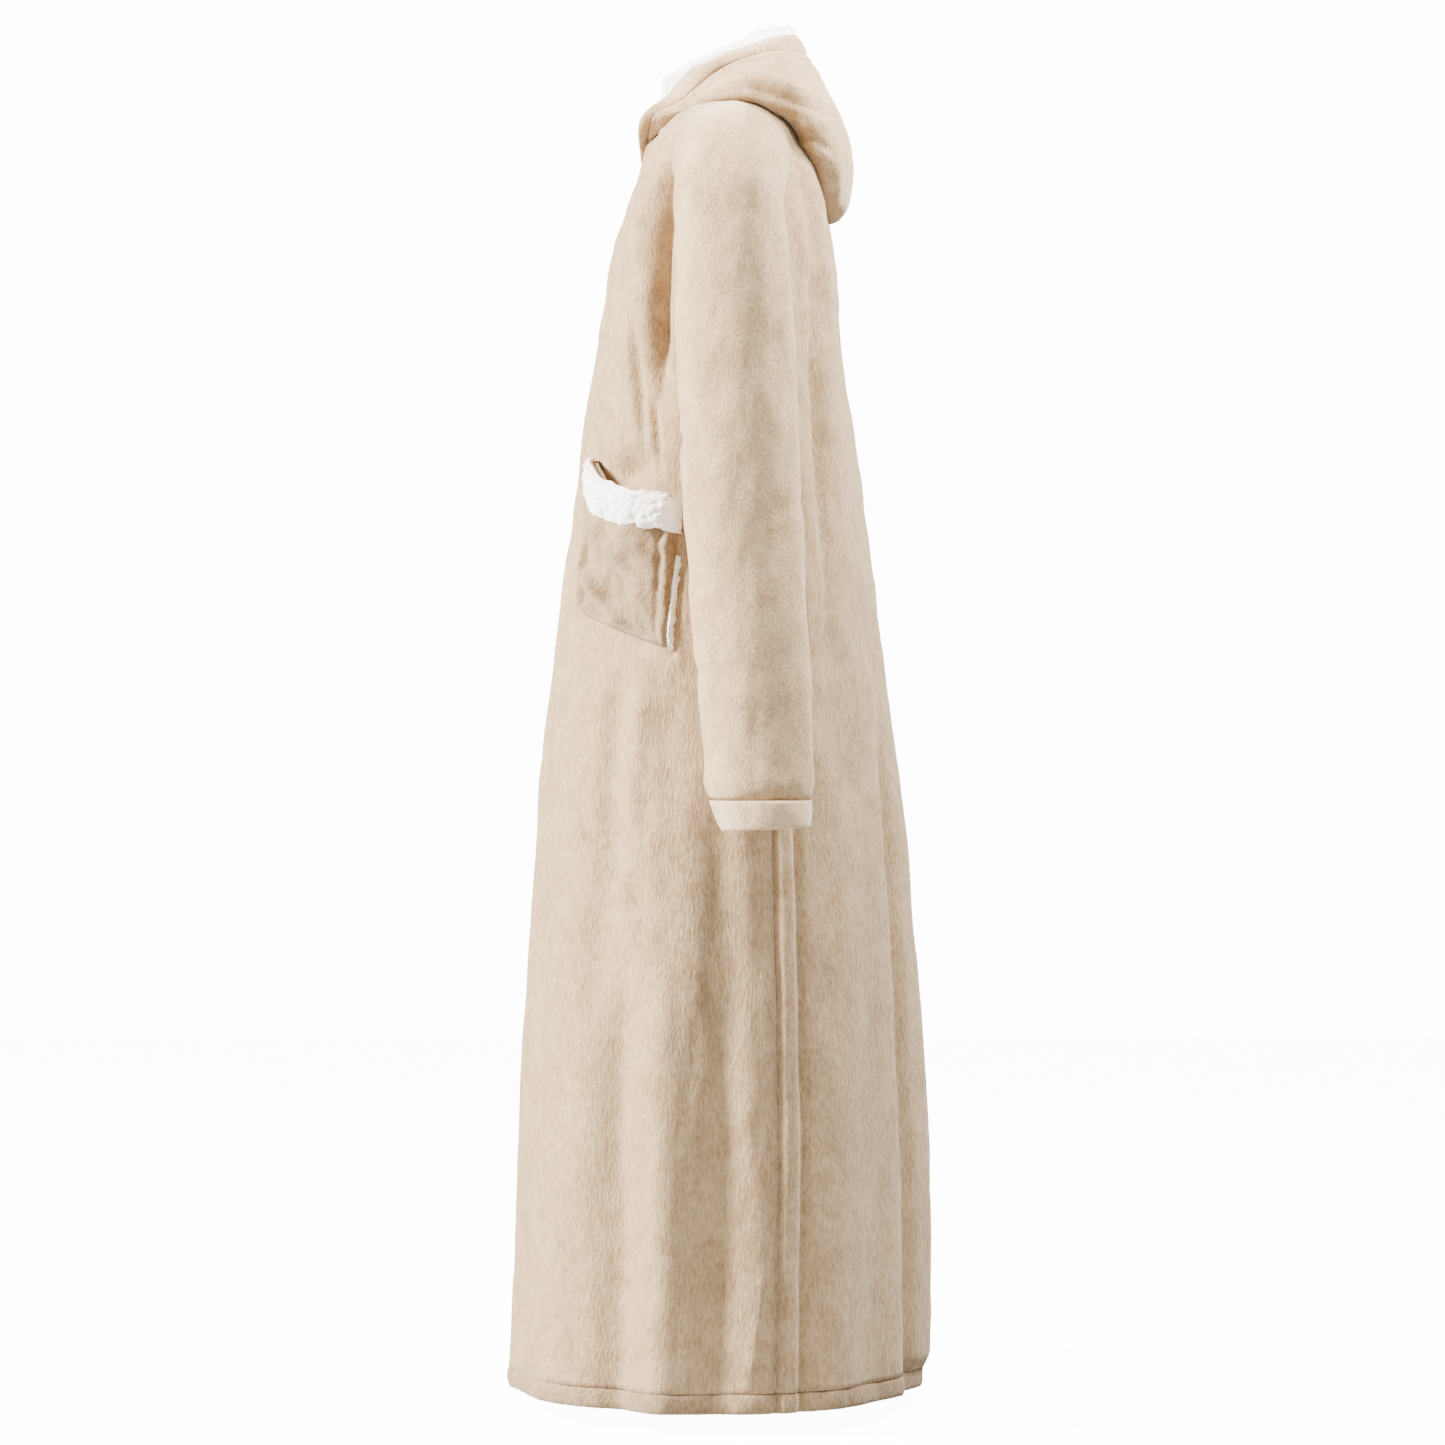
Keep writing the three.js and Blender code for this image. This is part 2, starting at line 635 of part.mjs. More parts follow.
// ---------------------------------------------------------------- back neck
// The tape that covers the back neck seam inside, and the hanging loop that droops from it.
function backNeck() {
  const behind = -shellThickness - liningThickness - seamGap - neckTapeGap;
  const high = levelAt(2, 'back');
  const low = levelAt(2 - neckTapeHeight, 'back');
  const start = THREE.MathUtils.degToRad(130);
  const point = (u, v) => body(start + (2 * Math.PI - 2 * start) * u, low + (high - low) * v);
  add('neck_tape', sheet(point, 10, 1, behind - neckTapeThickness, behind), tape);

  const top = body(Math.PI, high);
  const face = top.y + behind - neckTapeThickness - seamGap;
  const shoulder = loopHalfWidth / 2;
  const outer = [[-loopHalfWidth, 0], [-shoulder, -loopHeight], [shoulder, -loopHeight], [loopHalfWidth, 0]];
  const thin = loopThickness;
  const inner = [
    [loopHalfWidth - thin, 0],
    [shoulder - thin, -loopHeight + thin],
    [-shoulder + thin, -loopHeight + thin],
    [-loopHalfWidth + thin, 0],
  ];
  const outline = new THREE.Shape([...outer, ...inner].map(([x, z]) => new THREE.Vector2(x, z)));
  const loop = new THREE.ExtrudeGeometry(outline, { depth: loopBand, bevelEnabled: false });
  loop.rotateX(Math.PI / 2).translate(0, face, top.z - 1);
  add('hanging_loop', loop, tape);
}

bodyPanels();
sleeves();
zip();
pockets();
hood();
backNeck();

export default group;
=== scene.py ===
import math

import bpy
import numpy as np
from mathutils import Matrix, Vector


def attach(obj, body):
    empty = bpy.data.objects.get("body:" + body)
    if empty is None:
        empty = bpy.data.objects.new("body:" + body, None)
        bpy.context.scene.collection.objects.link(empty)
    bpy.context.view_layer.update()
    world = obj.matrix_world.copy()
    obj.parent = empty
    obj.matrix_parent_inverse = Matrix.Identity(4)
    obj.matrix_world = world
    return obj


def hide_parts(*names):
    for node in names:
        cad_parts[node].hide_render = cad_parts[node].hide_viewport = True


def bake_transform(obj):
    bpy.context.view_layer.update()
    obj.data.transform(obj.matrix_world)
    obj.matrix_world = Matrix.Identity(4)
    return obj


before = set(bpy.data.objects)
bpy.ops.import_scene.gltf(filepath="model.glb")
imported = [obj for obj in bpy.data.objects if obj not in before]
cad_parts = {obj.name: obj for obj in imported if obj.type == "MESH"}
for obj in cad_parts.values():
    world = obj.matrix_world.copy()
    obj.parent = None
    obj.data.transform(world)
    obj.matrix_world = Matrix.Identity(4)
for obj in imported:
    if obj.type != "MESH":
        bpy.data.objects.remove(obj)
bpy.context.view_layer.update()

SIDES = ((1, "left"), (-1, "right"))

# ------------------------------------ camera
camera_data = bpy.data.cameras.new("camera")
camera_data.lens = 124.6
camera_data.sensor_width = 36
camera = bpy.data.objects.new("camera", camera_data)
camera.location = (5.2, 0.0047, -0.6426)
camera.rotation_euler = (math.pi / 2, 0, math.pi / 2)
bpy.context.scene.collection.objects.link(camera)
bpy.context.scene.camera = camera


# ------------------------------------ noise
def hashed(ix, iy, iz, salt=0):
    h = (ix * 73856093) ^ (iy * 19349663) ^ (iz * 83492791) ^ (salt * 2654435761)
    h = (h ^ (h >> 13)) * 1274126177 & 0x7FFFFFFFFFFF
    h = (h ^ (h >> 17)) * 668265263 & 0x7FFFFFFFFFFF
    return ((h ^ (h >> 15)) & 0xFFFFFF) / 0xFFFFFF


def noise(p, size, salt=0):
    """Smooth noise from -1 to 1, one bump every size (a number or three)."""
    q = p / np.asarray(size, float)
    cell = np.floor(q).astype(np.int64)
    f = q - cell
    f = f * f * (3 - 2 * f)
    total = 0
    for dx in (0, 1):
        for dy in (0, 1):
            for dz in (0, 1):
                weight = ((f[..., 0] if dx else 1 - f[..., 0]) * (f[..., 1] if dy else 1 - f[..., 1])
                          * (f[..., 2] if dz else 1 - f[..., 2]))
                total = total + weight * hashed(cell[..., 0] + dx, cell[..., 1] + dy, cell[..., 2] + dz, salt)
    return total * 2 - 1


def tufts(p, size, salt=0):
    """Rounded curls of pile from 0 between them to 1 at their tops, one every size."""
    q = p / size
    cell = np.floor(q).astype(np.int64)
    nearest = np.full(p.shape[:-1], 9.0)
    for dx in (-1, 0, 1):
        for dy in (-1, 0, 1):
            for dz in (-1, 0, 1):
                c = cell + np.array([dx, dy, dz])
                spot = np.stack([hashed(c[..., 0], c[..., 1], c[..., 2], salt + k) for k in (1, 2, 3)], -1)
                nearest = np.minimum(nearest, ((c + spot - q) ** 2).sum(-1))
    return 1 - np.clip(nearest / 0.72, 0, 1)


def curls(p, size, salt=0):
    """Curly pile: tufts of two sizes, bent by noise so they don't look like a net."""
    warp = np.stack([noise(p, size * 1.7, salt + k) for k in (11, 12, 13)], -1) * size * 0.5
    return 0.62 * tufts(p + warp, size, salt) + 0.38 * tufts(p + warp, size * 0.52, salt + 5)


def ramp(low, high, v):
    t = np.clip((v - low) / (high - low), 0, 1)
    return t * t * (3 - 2 * t)


def bell(v, centre, width):
    return np.exp(-(((v - centre) / width) ** 2))


def span(v, start, full, fade, end):
    """Rises from 0 at start to 1 at full, and falls from 1 at fade to 0 at end."""
    return ramp(start, full, v) * (1 - ramp(fade, end, v))


# ------------------------------------ body surface
# the hem and the top edge of its band, below the neck, and how far the front stands out at the hem
HEM, BAND_EDGE, HEM_DEPTH = 1323, 1303, 211
# Rings from the hem to the neck seam: height of front, side and back, half width, how far the
# front and the back lie from the middle, and how square the ring is.
RINGS = np.array([
    [-HEM, -HEM, -HEM, 290, 219, 216, 2.0],
    [-1056, -1056, -1056, 274, 208, 214, 2.0],
    [-723, -723, -723, 247, 187, 188, 2.1],
    [-474, -474, -474, 226, 158, 158, 2.2],
    [-307, -307, -307, 214, 134, 133, 2.3],
    [-182, -182, -182, 206, 114, 114, 2.4],
    [-122, -105, -105, 200, 98, 102, 2.4],
    [-96, -46, -50, 184, 88, 86, 2.3],
    [-80, -17, -17, 135, 83, 73, 2.2],
    [-68, -4, 4, 82, 79, 63, 2.0],
], float)
FRONT, SIDE, BACK, WIDTH, AHEAD, BEHIND, SQUARE = range(7)
NECK_LEVEL = len(RINGS) - 1


def spline(a, b, c, d, t):
    slope_b, slope_c, rise = (c - a) / 2, (d - b) / 2, b - c
    return ((2 * rise + slope_b + slope_c) * t - 3 * rise - 2 * slope_b - slope_c) * t * t + slope_b * t + b


def ring_value(key, level):
    low = np.minimum(np.floor(level).astype(int), NECK_LEVEL - 1)
    value = [RINGS[np.clip(low + k, 0, NECK_LEVEL), key] for k in (-1, 0, 1, 2)]
    return spline(*value, level - low)


LEVELS = np.linspace(0, NECK_LEVEL, 4001)
HEIGHTS = {key: ring_value(key, LEVELS) for key in (FRONT, SIDE, BACK)}


def level_at(z, key=SIDE):
    return np.interp(z, HEIGHTS[key], LEVELS)


ZIP_TOP, ZIP_LENGTH, ZIP_TOP_DEPTH, ZIP_BOTTOM_DEPTH, ZIP_RUN_OUT = 76, 930, 76, 190, 70
ZIP_BOTTOM = ZIP_TOP + ZIP_LENGTH
ZIP_SLOPE = (ZIP_BOTTOM_DEPTH - ZIP_TOP_DEPTH) / ZIP_LENGTH
# from the middle: half width of the flat strip at the zip, and where the strip meets the body's curve
ZIP_FLAT, VALLEY = 18, 56


def zip_depth(z):
    """How far forward the zip's line lies at each height; it runs on below the zip to the hem."""
    end = ZIP_BOTTOM + ZIP_RUN_OUT
    depth = ZIP_TOP_DEPTH + ZIP_SLOPE * np.minimum(-z - ZIP_TOP, ZIP_LENGTH + ZIP_RUN_OUT)
    past = np.maximum(-z - end, 0) / (HEM - end)
    return depth + (HEM_DEPTH - depth) * past


def signed_power(x, power):
    return np.sign(x) * np.abs(x) ** power


def body(angle, level):
    """The plain surface, round from the front middle by angle and up from the hem by level."""
    angle, level = np.broadcast_arrays(angle, level)
    cosine = np.cos(angle)
    ahead, behind = ring_value(AHEAD, level), ring_value(BEHIND, level)
    power = 2 / ring_value(SQUARE, level)
    side = ring_value(SIDE, level)
    end = np.where(cosine > 0, ring_value(FRONT, level), ring_value(BACK, level))
    x = ring_value(WIDTH, level) * signed_power(np.sin(angle), power)
    z = side + (end - side) * cosine ** 2
    around = (behind - ahead) / 2 - (behind + ahead) / 2 * signed_power(cosine, power)
    belly = np.where(cosine > 0, ramp(ZIP_FLAT, VALLEY, np.abs(x)), 1.0)
    y = around * belly - zip_depth(z) * (1 - belly)
    return np.stack([x, y, z], -1)


def angle_at(x, level):
    power = ring_value(SQUARE, level) / 2
    return np.arcsin((x / ring_value(WIDTH, level)) ** power)


# the armhole: half height, half width, middle
ARM_RADIUS, ARM_HALF, ARM_Y, ARM_Z = 61, 56.5, 14, -82
# the pocket: angles of its ends, how far down its mouth and foot lie in front, how much further at
# the rear, and its width
POCKET_FRONT, POCKET_REAR = math.radians(34), math.radians(75)
POCKET_MOUTH, POCKET_FOOT, MOUTH_SLANT, FOOT_SLANT, POCKET_WIDTH = 377, 530, 37, 39, 150


def folds(angle, p):
    """How far the cloth stands out of the plain surface, in its fold lines and soft waves."""
    turn = np.arccos(np.cos(angle))
    a = np.degrees(turn)
    y, z = p[..., 1], p[..., 2]
    down = -z

    def along(*knots):
        return np.interp(down, *zip(*knots))

    low = ramp(380, 1200, down)
    drift = noise(p, (90, 90, 420), 3) * 1.6
    f = low * (7 * bell(a + drift, 41, 8) - 17 * bell(a + drift, 60, 6) + 12 * bell(a + 0.6 * drift, 75, 5.5)
               - 12 * bell(a + drift, 91, 5.5) + 4 * bell(a, 122, 8) - 5 * bell(a + drift, 138, 6))
    f += ramp(520, 820, down) * (6 * bell(a, 166, 8) - 13 * bell(a, 154.5 + 0.8 * drift, 2.8))
    # folds that open out below the pocket
    lean = (down - 600) * 0.02
    f += span(down, 570, 640, 820, 1000) * (
        6 * bell(a + drift, 66 - lean, 4) - 6 * bell(a + drift, 57 - lean, 4.5) - 5 * bell(a + drift, 76, 4))
    # the back's lobe ends above the hem and the cloth under it falls in
    f -= 9 * ramp(1285, 1312, down) * ramp(153, 160, a)
    # shoulder blades stand out under the fallen hood
    f += 9 * ramp(118, 150, a) * span(down, 40, 80, 150, 330)
    # back: soft flutes on either side of the middle
    f += low * 3.5 * np.cos(np.radians(a) * 13) * ramp(158, 166, a)
    # pleat behind the side seam
    f += ramp(640, 790, down) * (4.0 * span(a, 106.0, 107.6, 110.4, 112.6) - 4.5 * bell(a + 0.3 * drift, 105.6, 1.0)
                                 - 4.5 * bell(a + 0.3 * drift, 112.5, 1.3))
    side = ramp(80, 120, np.abs(p[..., 0]))
    # hollow in front of the sleeve with a ridge before it
    f -= side * 21 * bell(y, along((60, -46), (150, -56), (240, -59), (330, -58)), 8) * span(down, 60, 110, 230, 360)
    f += side * 5 * bell(y, along((60, -60), (150, -76), (240, -84), (330, -92)), 12) * span(down, 90, 140, 260, 360)
    # the cloth is drawn in behind the pocket's mouth
    f -= side * 17 * np.exp(-((y + 88) / 17) ** 2 - ((down - 389) / 15) ** 2)
    # hollow and ridge that run down behind the sleeve
    behind = along((40, 78), (110, 92), (170, 98), (250, 104), (560, 114))
    f += side * (4 * bell(y, behind + 14, 9) - 14 * bell(y, behind - 3, 6)) * span(down, 30, 80, 350, 600)
    # pulls above the pocket
    f -= side * 8 * bell(y, along((230, -84), (370, -77)), 3.4) * span(down, 220, 260, 330, 390)
    f -= side * 7 * bell(y, along((320, -66), (390, -58)), 3.2) * span(down, 310, 340, 360, 410)
    # small ridge above the hem at the side
    f += side * 3 * bell(y, along((1180, 46), (1290, 32)), 7) * span(down, 1160, 1200, 1270, 1300)
    # seam round the armhole
    reach = np.hypot((y - ARM_Y) * ARM_RADIUS / ARM_HALF, z - ARM_Z)
    f -= side * 5.5 * bell(reach, ARM_RADIUS + 1.0, 4)
    # the cloth is pressed in just outside the pocket's stitched edge
    height = POCKET_FOOT - POCKET_MOUTH
    u = (turn - POCKET_FRONT) / (POCKET_REAR - POCKET_FRONT)
    v = (POCKET_FOOT + FOOT_SLANT * u - down) / (height + (FOOT_SLANT - MOUTH_SLANT) * u)
    beyond = np.hypot(POCKET_WIDTH * np.clip(np.maximum(-u, u - 1 - 0.07 * v), 0, None),
                      height * np.clip(-v, 0, None))
    f -= 3.6 * bell(beyond, 6, 4.5) * (1 - ramp(0.8, 1.0, v))
    # gentle unevenness of stuffed, brushed cloth
    f += 2.6 * noise(p, (62, 62, 220), 7) + 1.8 * noise(p, (26, 26, 70), 8) + 0.7 * noise(p, (10, 10, 26), 9)
    f += (1.5 * noise(p, (15, 15, 30), 21) + 2.4 * noise(p, (38, 38, 56), 22)) * (1 - ramp(300, 900, down))
    # the zip's strip stays nearly plain, and the neck seam stays where the hood is sewn on
    f *= 0.25 + 0.75 * ramp(14, 40, np.abs(p[..., 0]) + 200 * (np.cos(angle) < 0))
    return f * ramp(0, 0.5, NECK_LEVEL - np.clip(level_at(z), 0, NECK_LEVEL - 0.02) + 0.02)


# ------------------------------------ meshes
def normals(p, ring=False):
    if ring:
        wide = np.concatenate([p[:, -1:], p, p[:, :1]], 1)
        along = wide[:, 2:] - wide[:, :-2]
    else:
        along = np.gradient(p, axis=1)
    n = np.cross(along, np.gradient(p, axis=0))
    return n / np.maximum(np.linalg.norm(n, axis=-1, keepdims=True), 1e-9)


def mesh(name, vertices, faces, material=None):
    """A smooth-shaded mesh object, from points in millimetres."""
    data = bpy.data.meshes.new(name)
    data.from_pydata((np.asarray(vertices, float).reshape(-1, 3) / 1000).tolist(), [],
                     faces if isinstance(faces, list) else faces.tolist())
    data.polygons.foreach_set("use_smooth", np.ones(len(data.polygons), bool))
    if material:
        data.materials.append(material)
    obj = bpy.data.objects.new(name, data)
    bpy.context.scene.collection.objects.link(obj)
    return obj


def grid_faces(rows, columns, ring=False, offset=0, flip=False):
    i = np.arange(columns if ring else columns - 1)
    j = np.arange(rows - 1)[:, None]
    a, b = j * columns + i, j * columns + (i + 1) % columns
    quads = np.stack([a, b, b + columns, a + columns], -1).reshape(-1, 4) + offset
    return quads[:, ::-1] if flip else quads


def closed_sheet(name, outer, inner, material, ring=False):
    """A closed sheet of cloth between two grids of points, rows then columns."""
    rows, columns = outer.shape[:2]
    layer = rows * columns
    bottom = np.array(list(range(columns)) + ([0] if ring else []))
    rims = [bottom, (rows - 1) * columns + bottom[::-1]]
    if not ring:
        rims += [(np.arange(rows) * columns)[::-1], np.arange(rows) * columns + columns - 1]
    faces = [grid_faces(rows, columns, ring), grid_faces(rows, columns, ring, layer, True)]
    faces += [np.stack([line[1:], line[:-1], line[:-1] + layer, line[1:] + layer], -1) for line in rims]
    return mesh(name, np.concatenate([outer.reshape(-1, 3), inner.reshape(-1, 3)]), np.concatenate(faces), material)


def mirrored(p):
    return (p * np.array([-1, 1, 1]))[:, ::-1]


# ------------------------------------ materials
def node(tree, kind, **values):
    """A node of this kind with its inputs, or else its settings, set to these values."""
    n = tree.nodes.new(kind)
    for key, value in values.items():
        if key in n.inputs:
            n.inputs[key].default_value = value
        else:
            setattr(n, key, value)
    return n


def new_material(name, **settings):
    """A material with these shader settings, its node tree and the tree's link function."""
    material = bpy.data.materials.new(name)
    material.use_nodes = True
    tree = material.node_tree
    for key, value in settings.items():
        tree.nodes["Principled BSDF"].inputs[key.replace("_", " ")].default_value = value
    return material, tree, tree.links.new


def tones(tree, source, dark, light, stops=(0, 1)):
    """Colours the shader from dark to light by the source."""
    colours = node(tree, "ShaderNodeValToRGB")
    for element, stop, colour in zip(colours.color_ramp.elements, stops, (dark, light)):
        element.position, element.color = stop, (*colour, 1)
    tree.links.new(source, colours.inputs["Fac"])
    tree.links.new(colours.outputs["Color"], tree.nodes["Principled BSDF"].inputs["Base Color"])


def relief(tree, source, strength, distance):
    """Bumps the shader by the source."""
    bumps = node(tree, "ShaderNodeBump", Strength=strength, Distance=distance)
    tree.links.new(source, bumps.inputs["Height"])
    tree.links.new(bumps.outputs["Normal"], tree.nodes["Principled BSDF"].inputs["Normal"])


def placed(tree, texture):
    """Lays the texture out in the piece's own coordinates."""
    tree.links.new(node(tree, "ShaderNodeTexCoord").outputs["Object"], texture.inputs["Vector"])
    return texture


def cloth_material(name, dark, light, nap, stretch, bump, sheen, tint, patch=0.34):
    """Brushed cloth: two tones mixed by soft patches and streaks of nap, a fibre bump and a sheen."""
    material, tree, link = new_material(name, Roughness=0.88, Specular_IOR_Level=0.18, Sheen_Weight=sheen,
                                        Sheen_Roughness=0.32, Sheen_Tint=(*tint, 1))
    streaks = placed(tree, node(tree, "ShaderNodeMapping", Scale=(1, 1, stretch)))
    fibres = node(tree, "ShaderNodeTexNoise", Scale=nap, Detail=5.0, Roughness=0.65)
    link(streaks.outputs["Vector"], fibres.inputs["Vector"])
    patches = placed(tree, node(tree, "ShaderNodeTexNoise", Scale=26.0, Detail=8.0, Roughness=0.62, Distortion=1.0))
    mix = node(tree, "ShaderNodeMath", operation="MULTIPLY_ADD")
    mix.inputs[1].default_value = patch * 2
    link(patches.outputs["Fac"], mix.inputs[0])
    link(fibres.outputs["Fac"], mix.inputs[2])
    tones(tree, mix.outputs[0], dark, light, (0.30 + patch * 0.9, min(0.66 + patch * 1.08, 1.0)))
    relief(tree, fibres.outputs["Fac"], *bump)
    return material


def curly_material(name, dark, light):
    """Curly pile: small loops in the bump on top of the modelled tufts, with painted shade in their hollows."""
    material, tree, _ = new_material(name, Roughness=0.95, Specular_IOR_Level=0.1, Sheen_Weight=0.5,
                                     Sheen_Roughness=0.6)
    loops = placed(tree, node(tree, "ShaderNodeTexNoise", Scale=420.0, Detail=4.0, Roughness=0.7, Distortion=1.4))
    # painted shade: the colour follows the bump, so its hollows get the darker tone
    tones(tree, loops.outputs["Fac"], dark, light, (0.3, 0.56))
    relief(tree, loops.outputs["Fac"], 0.7, 0.0018)
    return material


def woven_material(name, dark, light, pitch):
    """Woven tape: crossed ribs of yarn with a slight unevenness."""
    material, tree, link = new_material(name, Roughness=0.75, Specular_IOR_Level=0.25)
    both = node(tree, "ShaderNodeMath", operation="MULTIPLY")
    for k, direction in enumerate(("X", "Z")):
        wave = node(tree, "ShaderNodeTexWave", Scale=pitch, Distortion=0.4, Detail=1.0, bands_direction=direction)
        link(placed(tree, wave).outputs["Fac"], both.inputs[k])
    tones(tree, both.outputs[0], dark, light)
    relief(tree, both.outputs[0], 0.5, 0.0004)
    return material


def hard_material(name, dark, light, metallic, roughness):
    """Moulded nylon or satin metal: fine mottling in colour and a slight orange-peel bump."""
    material, tree, _ = new_material(name, Roughness=roughness, Metallic=metallic)
    grain = placed(tree, node(tree, "ShaderNodeTexNoise", Scale=900.0, Detail=3.0))
    tones(tree, grain.outputs["Fac"], dark, light)
    relief(tree, grain.outputs["Fac"], 0.15, 0.0002)
    return material


# The body panels' plush is a darker copy of the sleeves' and hood's plush_fine: painted shade for the skirt under the
# sleeves and towards the back.
BODY_PLUSH_PAINTED_SHADE = cloth_material("plush", (0.23, 0.144, 0.072), (0.402, 0.276, 0.153), 330.0, 0.36, (0.75, 0.0032), 0.45,
                       (1.0, 0.87, 0.70))
PLUSH_FINE = cloth_material("plush_fine", (0.305, 0.194, 0.101), (0.49, 0.34, 0.19), 360.0, 0.7, (0.65, 0.0028), 0.55,
                            (1.0, 0.88, 0.72))
CUFF_CLOTH = cloth_material("plush_cuff", (0.40, 0.27, 0.152), (0.60, 0.435, 0.266), 360.0, 0.8, (0.6, 0.0026), 0.8,
                            (1.0, 0.92, 0.80))
# The pocket's plush is a darker copy of the same cloth: painted shade on the pocket panel.
POCKET_CLOTH_PAINTED_SHADE = cloth_material("plush_pocket_painted_shade", (0.168, 0.104, 0.052), (0.30, 0.204, 0.113), 330.0, 0.6,
                              (0.75, 0.0032), 0.4, (1.0, 0.87, 0.70), 0.36)
# The hem bands' plush is a darker copy of the same cloth: painted shade on the hem band.
HEM_CLOTH_PAINTED_SHADE = cloth_material("plush_hem_painted_shade", (0.18, 0.112, 0.056), (0.335, 0.229, 0.127), 330.0, 0.6, (0.75, 0.0032), 0.4,
                           (1.0, 0.87, 0.70))
PILE = curly_material("pile", (0.93, 0.85, 0.75), (1.0, 0.97, 0.92))
TAPE = woven_material("woven_tape", (0.44, 0.34, 0.25), (0.62, 0.51, 0.40), 900.0)
NYLON = hard_material("zip_nylon", (0.50, 0.40, 0.31), (0.58, 0.47, 0.37), 0.0, 0.4)
METAL = hard_material("zip_metal", (0.10, 0.092, 0.078), (0.165, 0.152, 0.13), 1.0, 0.56)
THREAD = woven_material("thread", (0.46, 0.36, 0.27), (0.60, 0.49, 0.38), 2600.0)


def soft(obj, base, body_name, slot, nodes, held, rests_on=(), ring=False, blend=None, layers=1):
    """Puts a cloth piece on its body, or bakes its place into its mesh where it blends between two bodies, and hides
    the CAD nodes that it replaces.
    layers, which is 2 for a strip folded double, is not used."""
    if blend:
        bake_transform(obj)
    else:
        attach(obj, body_name)
    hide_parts(*nodes)


def pair(label, out, inner, base, material, slot, nodes, held, rests_on, body_name="torso", holes=None, **more):
    """A piece on the wearer's left and its mirror image; {} in rests_on stands for the side."""
    for side, name in SIDES:
        a, b = (out, inner) if side > 0 else (mirrored(out), mirrored(inner))
        piece = closed_sheet(f"{label}_{name}", a, b, material)
        if holes:
            cut(piece, [holes[name]])
        soft(piece, base, body_name, slot, [f"{n}_{name}" for n in nodes], held,
             [r.format(name) for r in rests_on], **more)


# ------------------------------------ body panels
SHELL, LINING, GAP = 3.0, 5.0, 0.4
LINING_OUT = -SHELL - GAP
LINING_IN = LINING_OUT - LINING
SEAM = math.radians(106)
BAND_TOP = float(level_at(-BAND_EDGE))
SHOULDER = 8  # the level from which the rows follow the neck seam
PANEL_EDGE = 6.5  # the fronts end this far from the middle, beside the zip


def level_rows(step):
    """Levels from the hem band to the neck seam, evenly spaced by height up to the shoulder. The
    neck seam rises least at the sides, so above it the levels themselves are evenly spaced."""
    bottom, top = ring_value(SIDE, np.array([BAND_TOP, NECK_LEVEL]))
    rows = level_at(np.linspace(bottom, top, int(round((top - bottom) / step)) + 1))
    rows[0] = BAND_TOP
    return np.concatenate([rows[rows <= SHOULDER], np.linspace(SHOULDER, NECK_LEVEL, 24)])


def front_grid(edge, levels, step=1.0, shut=1.4):
    """A front's columns from the zip to the side seam; below the zip the edges come together."""
    level = levels[:, None]
    below = ramp(ZIP_BOTTOM, ZIP_BOTTOM + 39, -body(0 * level, level)[..., 2])
    edge = edge + (shut - edge) * below
    strips = edge + (VALLEY - edge) * np.linspace(0, 1, int(17 / step))[None, :]
    near = angle_at(strips, level)
    start = angle_at(np.array([[float(VALLEY)]]), level)
    end = SEAM - GAP / 2 / ring_value(WIDTH, level)
    # more columns where the cloth creases: near the side seam
    t = np.linspace(0, 1, int(96 / step))[None, 1:]
    t = t + 0.16 * np.sin(math.pi * t) * t
    t = t / t.max()
    return np.concatenate([near, start + (end - start) * t], 1), np.broadcast_to(
        level, (len(levels), strips.shape[1] + t.shape[1]))


def back_grid(levels, count):
    """The back's columns from one side seam round to the other, closer together in the middle."""
    level = levels[:, None]
    start = SEAM + GAP / 2 / ring_value(WIDTH, level)
    t = np.linspace(0, 1, count)[None, :]
    t = t - 0.1 * np.sin(2 * math.pi * t) / (2 * math.pi) * 2
    return start + (2 * math.pi - 2 * start) * t, np.broadcast_to(level, (len(levels), count))


def draped(angle, level):
    """The body surface with its normals, and how far its folds stand out."""
    base = body(angle, level)
    # the front neckline rises to meet the hood's edge
    collar = bell(np.abs(base[..., 0]), 32, 15) * ramp(0, -30, base[..., 1])
    base[..., 2] += 11 * collar * ramp(1.2, 0, NECK_LEVEL - level)
    return base, normals(base), folds(angle, base)


def shell(angle, level):
    """The plush's outer and inner faces, and the surface that they are sewn from."""
    base, normal, fold = draped(angle, level)
    return base + normal * fold[..., None], base + normal * (fold - SHELL)[..., None], base


def pile(angle, level):
    """The same for the pile lining inside the plush."""
    base, normal, fold = draped(angle, level)
    return (base + normal * (fold + LINING_OUT)[..., None],
            base + normal * (fold + LINING_IN - 2.0 * curls(base, 11.0))[..., None], base)


def cutter(side):
    """An oval bar that cuts the armhole out of the panels."""
    count, near, far = 96, 112, 262
    turns = [k * math.pi / (count / 2) for k in range(count)]
    ring = [((ARM_HALF - 1) * math.cos(k), (ARM_RADIUS - 1) * math.sin(k)) for k in turns]
    points = [(side * x, ARM_Y + a, ARM_Z + b) for x in (near, far) for a, b in ring]
    faces = [tuple(range(count))[::-1], tuple(range(count, 2 * count))]
    faces += [(i, (i + 1) % count, count + (i + 1) % count, count + i) for i in range(count)]
    return mesh(f"cutter_{side}", points, faces if side > 0 else [f[::-1] for f in faces])


def cut(obj, tools):
    for tool in tools:
        modifier = obj.modifiers.new("cut", "BOOLEAN")
        modifier.operation, modifier.solver, modifier.object = "DIFFERENCE", "MANIFOLD", tool
    graph = bpy.context.evaluated_depsgraph_get()
    data = bpy.data.meshes.new_from_object(obj.evaluated_get(graph))
    obj.modifiers.clear()
    obj.data = data
    data.polygons.foreach_set("use_smooth", np.ones(len(data.polygons), bool))


